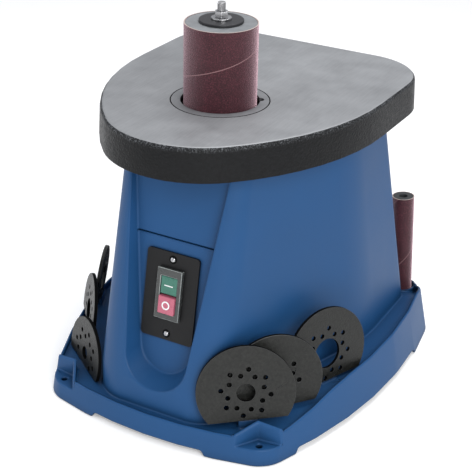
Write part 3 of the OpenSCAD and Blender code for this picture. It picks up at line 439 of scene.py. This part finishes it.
def body_of_node(name):
    """The body that a CAD node rides on."""
    return frame["nodes"][name]["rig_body"]


def record_slot(name):
    """The material slot that the record gives a CAD node."""
    for part in frame["record"]["subparts"]:
        if part["node"] == name:
            return part["material_slot"]
    raise RuntimeError(f"{name} has no material slot")


def settle_strays(made, width):
    """Fixes the rounded edges in the mesh, and draws in each corner that strayed from the form."""
    form = made.data
    near = BVHTree.FromPolygons([v.co for v in form.vertices],
                                [p.vertices[:] for p in form.polygons])
    view = bpy.context.evaluated_depsgraph_get()
    rounded = bpy.data.meshes.new_from_object(made.evaluated_get(view))
    made.modifiers.clear()
    made.data = rounded
    rounded.name = form.name + "_rounded"
    for vertex in rounded.vertices:
        place, _, _, gap = near.find_nearest(vertex.co)
        if gap > STRAY_SHARE * width:
            vertex.co = place


def rounded_copy(source, name, material, width, segments=2, angle=30, merge=2e-5, clamp=True,
                 edge_finish=None):
    """A copy of a node with welded, rounded edges and smooth curves, standing for the node."""
    mesh = bpy.data.meshes.new(name)
    shape = bmesh.new()
    shape.from_mesh(frame["nodes"][source].data)
    bmesh.ops.remove_doubles(shape, verts=shape.verts, dist=merge)
    bmesh.ops.dissolve_degenerate(shape, dist=merge / 3, edges=shape.edges)
    bmesh.ops.dissolve_limit(shape, angle_limit=FLAT_ANGLE, verts=shape.verts, edges=shape.edges)
    bmesh.ops.connect_verts_concave(shape, faces=shape.faces)
    for face in shape.faces:
        face.smooth = True
        face.material_index = 0
    shape.to_mesh(mesh)
    shape.free()
    mesh.materials.clear()
    made = place_object(name, mesh, body_of_node(source), record_slot(source), material)
    if width > 0:
        edge = made.modifiers.new("Edges", "BEVEL")
        edge.width = width
        edge.segments = segments
        edge.limit_method = "ANGLE"
        edge.angle_limit = math.radians(angle)
        edge.use_clamp_overlap = clamp
        edge.miter_outer = "MITER_ARC"
        edge.harden_normals = False
        if edge_finish:
            mesh.materials.append(finish_named(edge_finish))
            edge.material = 1
        if not clamp:
            settle_strays(made, width)
    else:
        mesh.set_sharp_from_angle(angle=math.radians(angle))
    even = made.modifiers.new("Shading", "WEIGHTED_NORMAL")
    even.keep_sharp = True
    even.weight = 80
    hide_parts(source)
    return made


def edge_cloth(sleeve):
    """Shows the pale cloth along the cut ends of a sleeve."""
    sleeve.data.materials.append(finish_named("cloth_edge"))
    for face in sleeve.data.polygons:
        if abs(face.normal.z) > 0.9:
            face.material_index = 1


def paint_node(name, material):
    """Gives a CAD node its finish, leaving its mesh as it is."""
    made = frame["nodes"][name]
    if not made.material_slots:
        made.data.materials.append(None)
    for used in made.material_slots:
        used.material = finish_named(material)


def grown_mesh(tree, name, start=None, **values):
    """The plain mesh that a Geometry Nodes tree makes from a start mesh and its named inputs."""
    base = bpy.data.objects.new(name, start or bpy.data.meshes.new(name))
    bpy.context.scene.collection.objects.link(base)
    grower = base.modifiers.new("Grow", "NODES")
    grower.node_group = tree
    for item in tree.interface.items_tree:
        if item.item_type == "SOCKET" and item.in_out == "INPUT" and item.name in values:
            grower[item.identifier] = values[item.name]
    depsgraph = bpy.context.evaluated_depsgraph_get()
    depsgraph.update()
    mesh = bpy.data.meshes.new_from_object(base.evaluated_get(depsgraph), depsgraph=depsgraph)
    mesh.name = name
    base.modifiers.remove(grower)
    bpy.data.objects.remove(base)
    return mesh


def new_tree(name, inputs):
    """A Geometry Nodes tree with a geometry input, named inputs and a geometry output."""
    tree = bpy.data.node_groups.new(name, "GeometryNodeTree")
    tree.interface.new_socket("Geometry", in_out="INPUT", socket_type="NodeSocketGeometry")
    for label, kind, default in inputs:
        made = tree.interface.new_socket(label, in_out="INPUT", socket_type=kind)
        if default is not None:
            made.default_value = default
    tree.interface.new_socket("Geometry", in_out="OUTPUT", socket_type="NodeSocketGeometry")
    return tree, tree.nodes.new("NodeGroupInput"), tree.nodes.new("NodeGroupOutput")


def end_tree(tree, geometry, given, out):
    """Closes a tree with real geometry in the finish that it was given."""
    real = tree.nodes.new("GeometryNodeRealizeInstances")
    paint = tree.nodes.new("GeometryNodeSetMaterial")
    tree.links.new(geometry, real.inputs["Geometry"])
    tree.links.new(real.outputs["Geometry"], paint.inputs["Geometry"])
    tree.links.new(given.outputs["Material"], paint.inputs["Material"])
    tree.links.new(paint.outputs["Geometry"], out.inputs["Geometry"])


def thread_tree():
    """A round ridge wound into a screw thread."""
    tree, given, out = new_tree("wound_thread", [
        ("Radius", "NodeSocketFloat", 0.004), ("Height", "NodeSocketFloat", 0.01),
        ("Turns", "NodeSocketFloat", 8.0), ("Ridge", "NodeSocketFloat", 0.0004),
        ("Place", "NodeSocketVector", None), ("Material", "NodeSocketMaterial", None)])
    wind = tree.nodes.new("GeometryNodeCurveSpiral")
    wind.inputs["Resolution"].default_value = 28
    section = tree.nodes.new("GeometryNodeCurvePrimitiveCircle")
    section.inputs["Resolution"].default_value = 6
    sweep = tree.nodes.new("GeometryNodeCurveToMesh")
    sweep.inputs["Fill Caps"].default_value = True
    move = tree.nodes.new("GeometryNodeTransform")
    links = tree.links
    links.new(given.outputs["Radius"], wind.inputs["Start Radius"])
    links.new(given.outputs["Radius"], wind.inputs["End Radius"])
    links.new(given.outputs["Height"], wind.inputs["Height"])
    links.new(given.outputs["Turns"], wind.inputs["Rotations"])
    links.new(given.outputs["Ridge"], section.inputs["Radius"])
    links.new(wind.outputs["Curve"], sweep.inputs["Curve"])
    links.new(section.outputs["Curve"], sweep.inputs["Profile Curve"])
    links.new(sweep.outputs["Mesh"], move.inputs["Geometry"])
    links.new(given.outputs["Place"], move.inputs["Translation"])
    end_tree(tree, move.outputs["Geometry"], given, out)
    return tree


def ring_row_tree():
    """A row of equal rings along the Y axis."""
    tree, given, out = new_tree("row_of_rings", [
        ("Count", "NodeSocketInt", 4), ("Step", "NodeSocketFloat", 0.006),
        ("Radius", "NodeSocketFloat", 0.018), ("Bead", "NodeSocketFloat", 0.0006),
        ("Place", "NodeSocketVector", None), ("Material", "NodeSocketMaterial", None)])
    links = tree.links
    step = tree.nodes.new("ShaderNodeCombineXYZ")
    links.new(given.outputs["Step"], step.inputs["Y"])
    row = tree.nodes.new("GeometryNodeMeshLine")
    links.new(given.outputs["Count"], row.inputs["Count"])
    links.new(given.outputs["Place"], row.inputs["Start Location"])
    links.new(step.outputs["Vector"], row.inputs["Offset"])
    circle = tree.nodes.new("GeometryNodeCurvePrimitiveCircle")
    circle.inputs["Resolution"].default_value = 72
    section = tree.nodes.new("GeometryNodeCurvePrimitiveCircle")
    section.inputs["Resolution"].default_value = 8
    sweep = tree.nodes.new("GeometryNodeCurveToMesh")
    links.new(given.outputs["Radius"], circle.inputs["Radius"])
    links.new(given.outputs["Bead"], section.inputs["Radius"])
    links.new(circle.outputs["Curve"], sweep.inputs["Curve"])
    links.new(section.outputs["Curve"], sweep.inputs["Profile Curve"])
    stand = tree.nodes.new("GeometryNodeTransform")
    stand.inputs["Rotation"].default_value = (math.pi / 2, 0, 0)
    links.new(sweep.outputs["Mesh"], stand.inputs["Geometry"])
    spots = tree.nodes.new("GeometryNodeInstanceOnPoints")
    links.new(row.outputs["Mesh"], spots.inputs["Points"])
    links.new(stand.outputs["Geometry"], spots.inputs["Instance"])
    end_tree(tree, spots.outputs["Instances"], given, out)
    return tree


def ring_of_points(shape, radius, height, count):
    """Equally spaced points round the Z axis."""
    return [shape.verts.new((radius * math.cos(2 * math.pi * k / count),
                             radius * math.sin(2 * math.pi * k / count), height))
            for k in range(count)]


def wall_between(shape, rows):
    """Four-sided faces between each ring of points and the next."""
    for low, high in rows:
        count = len(low)
        for k in range(count):
            shape.faces.new((low[k], low[(k + 1) % count], high[(k + 1) % count], high[k]))


def screw_head_mesh(radius, height, slot_width, slot_depth):
    """A domed screw head on the XY plane, with a cross cut into it."""
    mesh = bpy.data.meshes.new("screw_head")
    shape = bmesh.new()
    dome = [(1.0, 0.0), (1.0, 0.35), (0.93, 0.62), (0.76, 0.85), (0.5, 0.97), (0.22, 1.0)]
    rows = [ring_of_points(shape, radius * r, height * z, 32) for r, z in dome]
    wall_between(shape, zip(rows, rows[1:]))
    shape.faces.new(rows[-1])
    shape.faces.new(list(reversed(rows[0])))
    shape.to_mesh(mesh)
    shape.free()
    made = bpy.data.objects.new("screw_head", mesh)
    bpy.context.scene.collection.objects.link(made)
    cutters = []
    for turn in (0, 90):
        tool = bpy.data.meshes.new("slot_tool")
        cut = bmesh.new()
        bmesh.ops.create_cube(cut, size=1.0)
        bmesh.ops.scale(cut, vec=(radius * 1.15, slot_width, slot_depth * 2), verts=cut.verts)
        cut.transform(Matrix.Translation((0, 0, height))
                      @ Matrix.Rotation(math.radians(turn), 4, "Z"))
        cut.to_mesh(tool)
        cut.free()
        cutter = bpy.data.objects.new("slot_tool", tool)
        bpy.context.scene.collection.objects.link(cutter)
        cutters.append(cutter)
        carve = made.modifiers.new("Slot", "BOOLEAN")
        carve.operation = "DIFFERENCE"
        carve.solver = "EXACT"
        carve.object = cutter
    depsgraph = bpy.context.evaluated_depsgraph_get()
    depsgraph.update()
    result = bpy.data.meshes.new_from_object(made.evaluated_get(depsgraph), depsgraph=depsgraph)
    for extra in [made, *cutters]:
        bpy.data.objects.remove(extra)
    result.shade_smooth()
    result.set_sharp_from_angle(angle=math.radians(32))
    return result


def scatter_tree():
    """Copies of one piece at the points of a mesh, all turned the same way."""
    tree, given, out = new_tree("placed_copies", [
        ("Piece", "NodeSocketObject", None), ("Turn", "NodeSocketVector", None),
        ("Material", "NodeSocketMaterial", None)])
    links = tree.links
    piece = tree.nodes.new("GeometryNodeObjectInfo")
    links.new(given.outputs["Piece"], piece.inputs["Object"])
    spots = tree.nodes.new("GeometryNodeInstanceOnPoints")
    links.new(given.outputs["Geometry"], spots.inputs["Points"])
    links.new(piece.outputs["Geometry"], spots.inputs["Instance"])
    links.new(given.outputs["Turn"], spots.inputs["Rotation"])
    end_tree(tree, spots.outputs["Instances"], given, out)
    return tree


def placed_screws(name, points, turn, material, mesh):
    """One mesh with a copy of a screw's head at each point."""
    spots = bpy.data.meshes.new(name)
    spots.from_pydata([tuple(p) for p in points], [], [])
    piece = bpy.data.objects.new("screw_pattern", mesh)
    bpy.context.scene.collection.objects.link(piece)
    tree = bpy.data.node_groups.get("placed_copies") or scatter_tree()
    made = grown_mesh(tree, name, spots, Piece=piece, Turn=turn, Material=finish_named(material))
    bpy.data.objects.remove(piece)
    return made


def lathe(profile, count):
    """A closed ring turned from (radius, height) points round the Z axis."""
    mesh = bpy.data.meshes.new("turned")
    shape = bmesh.new()
    rows = [ring_of_points(shape, r, z, count) for r, z in profile]
    wall_between(shape, zip(rows, rows[1:] + rows[:1]))
    bmesh.ops.recalc_face_normals(shape, faces=shape.faces)
    shape.to_mesh(mesh)
    shape.free()
    mesh.shade_smooth()
    mesh.set_sharp_from_angle(angle=math.radians(32))
    return mesh


# ---- One operator for each piece or group of like pieces ----
class SANDER_OT_finishes(bpy.types.Operator):
    """Makes every finish on the machine"""
    bl_idname = "sander.finishes"
    bl_label = "Finishes"

    def execute(self, context):
        make_finishes()
        return {"FINISHED"}


class SANDER_OT_housing(bpy.types.Operator):
    """Rounds the moulded housing with its channel, its tray and its pockets"""
    bl_idname = "sander.housing"
    bl_label = "Housing"

    def execute(self, context):
        rounded_copy("housing", "moulded_housing", "housing_blue",
                     context.scene.sander_sizes.housing_edge, segments=3, angle=CURVE_ANGLE,
                     merge=3e-4, clamp=False)
        return {"FINISHED"}


class SANDER_OT_table(bpy.types.Operator):
    """Dresses the cast table: a ground face above a painted skirt"""
    bl_idname = "sander.table"
    bl_label = "Table"

    def execute(self, context):
        made = rounded_copy("table", "cast_table", "cast_black",
                            context.scene.sander_sizes.table_edge, angle=CURVE_ANGLE)
        made.data.materials.append(finish_named("ground_face"))
        near_flat, ground_depth = 0.75, 0.003
        for face in made.data.polygons:
            if face.normal.z > near_flat and face.center.z > TABLE_TOP - ground_depth:
                face.material_index = 1
        # The ring's rounded edges are painted near black: painted shade in the gaps round the ring.
        rounded_copy("table_insert", "insert_ring", "ring_steel", 0.0008, angle=CURVE_ANGLE,
                     edge_finish="deep_black")
        return {"FINISHED"}


class SANDER_OT_inserts(bpy.types.Operator):
    """Rounds the six inserts in the tray; their sides carry painted shade, their edges painted
    highlights
    """
    bl_idname = "sander.inserts"
    bl_label = "Stored inserts"

    def execute(self, context):
        for which in INSERTS:
            made = rounded_copy("insert_" + which, "plate_" + which, "insert_black",
                                context.scene.sander_sizes.insert_edge, angle=CURVE_ANGLE,
                                edge_finish="insert_rim")
            # The side faces of each plate are painted near black: painted shade on the plate's
            # thickness.
            made.data.materials.append(finish_named("deep_black"))
            faces = made.data.polygons
            through = max(faces, key=lambda face: face.area).normal.copy()
            side_on = 0.3
            for face in faces:
                if abs(face.normal.dot(through)) < side_on:
                    face.material_index = 2
        return {"FINISHED"}


class SANDER_OT_drum(bpy.types.Operator):
    """Dresses the drum, its abrasive sleeve, its washers, the nut and the threaded spindle"""
    bl_idname = "sander.drum"
    bl_label = "Drum and spindle"

    def execute(self, context):
        sizes = context.scene.sander_sizes
        rounded_copy("drum", "rubber_drum", "rubber", 0.0012, segments=3)
        edge_cloth(rounded_copy("sanding_sleeve", "grit_sleeve", "grit_cloth", 0.0003))
        rounded_copy("upper_washer", "cap_washer", "black_steel", 0.0007, segments=3)
        rounded_copy("lower_washer", "seat_washer", "black_steel", sizes.small_edge)
        rounded_copy("lock_collar", "collar", "steel", sizes.small_edge)
        rounded_copy("spindle_nut", "hex_nut", "steel", 0.0006)
        rounded_copy("spindle", "turned_spindle", "steel", 0.0003)
        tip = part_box("spindle")[1].z
        nut_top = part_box("spindle_nut")[1].z
        plain_tip, gap = 0.001, 0.0005
        height = tip - nut_top - (plain_tip + gap)
        thread = grown_mesh(thread_tree(), "spindle_thread", Radius=0.004, Height=height,
                            Turns=height / sizes.thread_pitch, Ridge=0.00035,
                            Place=(0.0, SPINDLE_Y, nut_top + gap),
                            Material=finish_named("black_steel"))
        thread.shade_smooth()
        place_object("spindle_thread", thread, "spindle_assembly", "steel")
        return {"FINISHED"}


class SANDER_OT_stored_drum(bpy.types.Operator):
    """Dresses the spare drum and its sleeve on their peg"""
    bl_idname = "sander.stored_drum"
    bl_label = "Stored drum"

    def execute(self, context):
        rounded_copy("stored_drum", "spare_drum", "dark_rubber", 0.0006, segments=3)
        edge_cloth(rounded_copy("stored_sleeve", "spare_sleeve", "stored_grit_cloth", 0.0003))
        return {"FINISHED"}


class SANDER_OT_switch(bpy.types.Operator):
    """Dresses the switch: its plate, frame, push buttons, marks and screws, with painted shadow
    round the screws
    """
    bl_idname = "sander.switch"
    bl_label = "Switch"

    def execute(self, context):
        sizes = context.scene.sander_sizes
        rounded_copy("switch_plate", "front_plate", "black_plastic", 0.0007, segments=3)
        # The frame's rounded edges get a pale grey: a painted highlight.
        rounded_copy("switch_frame", "button_frame", "grey_plastic", 0.0006,
                     edge_finish="clear_edge")
        rounded_copy("on_button", "push_on", "green_plastic", 0.0012, segments=3)
        rounded_copy("off_button", "push_off", "red_plastic", 0.0012, segments=3)
        proud, sunk = sizes.symbol_height, 0.0004
        bar = bpy.data.meshes.new("on_mark")
        shape = bmesh.new()
        bmesh.ops.create_cube(shape, size=1.0)
        bmesh.ops.scale(shape, vec=(0.0105, 0.0011, proud + sunk), verts=shape.verts)
        shape.transform(SWITCH_PLACE @ Matrix.Translation(
            (0, ON_MIDDLE, ON_FACE + (proud - sunk) / 2)))
        shape.to_mesh(bar)
        shape.free()
        place_object("on_mark", bar, "on_push", "grey_plastic", "white_mark")
        inner, outer, softened = 0.0032, 0.0048, 0.0002
        ring = lathe([(inner, -sunk), (outer, -sunk), (outer, proud * 0.7),
                      (outer - softened, proud), (inner + softened, proud),
                      (inner, proud * 0.7)], 48)
        ring.transform(SWITCH_PLACE @ Matrix.Translation((0, OFF_MIDDLE, OFF_FACE)))
        place_object("off_mark", ring, "off_push", "grey_plastic", "white_mark")
        screw_offset, plate_face, head = 0.042, 0.00265, 0.0029
        points = [SWITCH_PLACE @ Vector((0, s * screw_offset, plate_face)) for s in (-1, 1)]
        turn = (math.radians(90 - CHANNEL_TILT), 0.0, 0.0)
        heads = placed_screws("plate_screw_heads", points, turn, "steel",
                              screw_head_mesh(head, 0.002, 0.0007, 0.0009))
        made = place_object("plate_screw_heads", heads, "base", "steel")
        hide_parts("switch_screws")
        # A thin near-black disc round each screw head: painted shadow of the screw's recess.
        rim, film = 0.0046, 0.00012
        for which, point in enumerate(points):
            shadow_disc = lathe([(head, 0.0), (rim, 0.0), (rim, film), (head, film)], 40)
            shadow_disc.transform(Matrix.Translation(point) @ SWITCH_PLACE.to_3x3().to_4x4())
            place_object(f"screw_shadow_ring_{which + 1}", shadow_disc, "base", "black_plastic",
                         "deep_black")
        return {"FINISHED"}


class SANDER_OT_back(bpy.types.Operator):
    """Dresses the dust port with grip rings, and the cord gland"""
    bl_idname = "sander.back"
    bl_label = "Dust port and gland"

    def execute(self, context):
        sizes = context.scene.sander_sizes
        rounded_copy("dust_port", "hose_port", "black_plastic", 0.0006, segments=2)
        rounded_copy("cord_gland", "gland", "black_plastic", 0.0004)
        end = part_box("dust_port")[1].y
        rings = grown_mesh(ring_row_tree(), "port_rings", Count=sizes.hose_rings, Step=-0.0065,
                           Radius=PORT_RADIUS, Bead=0.0005, Place=(0.0, end - 0.006, PORT_HEIGHT),
                           Material=finish_named("black_plastic"))
        rings.shade_smooth()
        place_object("port_rings", rings, "base", "black_plastic")
        return {"FINISHED"}


INNER_FINISHES = {
    "steel": ("spindle_clip", "quill", "quill_bearings", "crank_shaft", "worm", "motor_bearings",
              "pulley_bearing", "base_plate_screws", "table_screws", "quill_housing_screws",
              "chassis_screws", "motor_screws"),
    "cast_alloy": ("quill_lug", "quill_housing", "driven_pulley", "motor_pulley", "connecting_rod",
                   "chassis_posts"),
    "sheet_steel": ("chassis_plate", "base_plate", "motor_case", "motor_rotor"),
    "black_plastic": ("motor_fan", "dust_chute", "switch_body"),
    "rubber": ("drive_belt", "shaft_seal"),
    "bronze": ("worm_wheel",),
    "copper": ("motor_stator",),
}


class SANDER_OT_inner_works(bpy.types.Operator):
    """Gives the drive, the motor and the plates inside their finishes"""
    bl_idname = "sander.inner_works"
    bl_label = "Inner works"

    def execute(self, context):
        for material, names in INNER_FINISHES.items():
            for name in names:
                paint_node(name, material)
        left = [n for n, o in frame["nodes"].items() if not o.hide_render
                and not any(n in names for names in INNER_FINISHES.values())]
        if left:
            raise RuntimeError(f"these pieces have no finish yet: {left}")
        return {"FINISHED"}


def softbox(name, place, aim, size, power):
    """A rectangular studio light that faces a point."""
    light = bpy.data.lights.new(name, "AREA")
    light.shape = "RECTANGLE"
    light.size, light.size_y = size
    light.energy = power
    made = bpy.data.objects.new(name, light)
    bpy.context.scene.collection.objects.link(made)
    made.location = place
    made.rotation_euler = (Vector(aim) - Vector(place)).to_track_quat("-Z", "Y").to_euler()


def aimed_camera():
    """The camera in front and to the right, a little above the drum."""
    azimuth, distance, height = 0.516739595, 1.282929, 0.478435
    pitch, yaw, roll = 0.462565578, -0.0157196841, 0.0232206902
    place = Vector((distance * math.sin(azimuth), SPINDLE_Y - distance * math.cos(azimuth),
                    TABLE_TOP + height))
    heading = azimuth + yaw
    ahead = Vector((-math.sin(heading) * math.cos(pitch), math.cos(heading) * math.cos(pitch),
                    -math.sin(pitch)))
    right = ahead.cross(Vector((0, 0, 1))).normalized()
    up = right.cross(ahead)
    right, up = (right * math.cos(roll) + up * math.sin(roll),
                 up * math.cos(roll) - right * math.sin(roll))
    camera = bpy.data.cameras.new("Camera")
    camera.lens = bpy.context.scene.sander_light.lens
    camera.sensor_width = 36
    camera.clip_start, camera.clip_end = 0.05, 30
    made = bpy.data.objects.new("Camera", camera)
    bpy.context.scene.collection.objects.link(made)
    made.matrix_world = Matrix((
        (right.x, up.x, -ahead.x, place.x), (right.y, up.y, -ahead.y, place.y),
        (right.z, up.z, -ahead.z, place.z), (0, 0, 0, 1)))
    bpy.context.scene.camera = made


class SANDER_OT_stage(bpy.types.Operator):
    """Sets the camera, the pale floor and the soft studio lights"""
    bl_idname = "sander.stage"
    bl_label = "Stage"

    def execute(self, context):
        light = context.scene.sander_light
        aimed_camera()
        ground = bpy.data.meshes.new("floor")
        reach, below = 6, -0.0005
        ground.from_pydata([(x * reach, y * reach, below)
                            for x, y in ((-1, -1), (1, -1), (1, 1), (-1, 1))], [], [(0, 1, 2, 3)])
        floor = bpy.data.objects.new("floor", ground)
        context.scene.collection.objects.link(floor)
        ground.materials.append(finish("pale_floor", (0.86, 0.86, 0.86), 0.75, patch=3,
                                       patch_depth=0.01, grain=200, bump=0.0001, strength=0.05,
                                       Emission_Color=(1, 1, 1, 1), Emission_Strength=0.24))
        aim = (0, 0, 0.25)
        softbox("key_softbox", (1.5, -1.3, 1.3), aim, (1.2, 1.2), light.key)
        softbox("fill_softbox", (-1.6, -1.0, 1.0), aim, (1.2, 1.4), light.fill)
        softbox("side_softbox", (1.7, 0.55, 0.9), (0, 0, 0.3), (0.5, 1.6), light.side)
        softbox("top_softbox", (0.1, 0.4, 1.9), aim, (1.4, 1.4), light.top)
        softbox("low_softbox", (0.15, -1.1, 0.12), (0, -0.2, 0.0), (1.2, 0.22), light.low)
        world = bpy.data.worlds.new("studio")
        world.use_nodes = True
        back = world.node_tree.nodes["Background"]
        back.inputs["Color"].default_value = (0.93, 0.95, 1, 1)
        back.inputs["Strength"].default_value = light.sky
        context.scene.world = world
        context.scene.view_settings.view_transform = "Standard"
        return {"FINISHED"}


class SANDER_PT_panel(bpy.types.Panel):
    """Lists the machine's pieces in the sidebar"""
    bl_idname = "SANDER_PT_panel"
    bl_label = "Spindle sander"
    bl_space_type = "VIEW_3D"
    bl_region_type = "UI"
    bl_category = "Sander"

    def draw(self, context):
        column = self.layout.column()
        for group in (context.scene.sander_sizes, context.scene.sander_colours,
                      context.scene.sander_light):
            for name in group.__class__.__annotations__:
                column.prop(group, name)
        for operator in OPERATORS:
            column.operator(operator.bl_idname)


OPERATORS = (SANDER_OT_finishes, SANDER_OT_housing, SANDER_OT_table, SANDER_OT_inserts,
             SANDER_OT_drum, SANDER_OT_stored_drum, SANDER_OT_switch, SANDER_OT_back,
             SANDER_OT_inner_works, SANDER_OT_stage)
GROUPS = (SanderSizes, SanderColours, SanderLight)


def register():
    """Makes the classes and the groups of values known to Blender."""
    for made in (*GROUPS, *OPERATORS, SANDER_PT_panel):
        bpy.utils.register_class(made)
    bpy.types.Scene.sander_sizes = bpy.props.PointerProperty(type=SanderSizes)
    bpy.types.Scene.sander_colours = bpy.props.PointerProperty(type=SanderColours)
    bpy.types.Scene.sander_light = bpy.props.PointerProperty(type=SanderLight)


def unregister():
    """Takes them away again, in the opposite order."""
    del bpy.types.Scene.sander_light
    del bpy.types.Scene.sander_colours
    del bpy.types.Scene.sander_sizes
    for made in reversed((*GROUPS, *OPERATORS, SANDER_PT_panel)):
        bpy.utils.unregister_class(made)


def main():
    """Makes every piece in order."""
    register()
    for operator in OPERATORS:
        group, name = operator.bl_idname.split(".")
        getattr(getattr(bpy.ops, group), name)()
    bpy.context.view_layer.update()


if __name__ == "__main__":
    main()
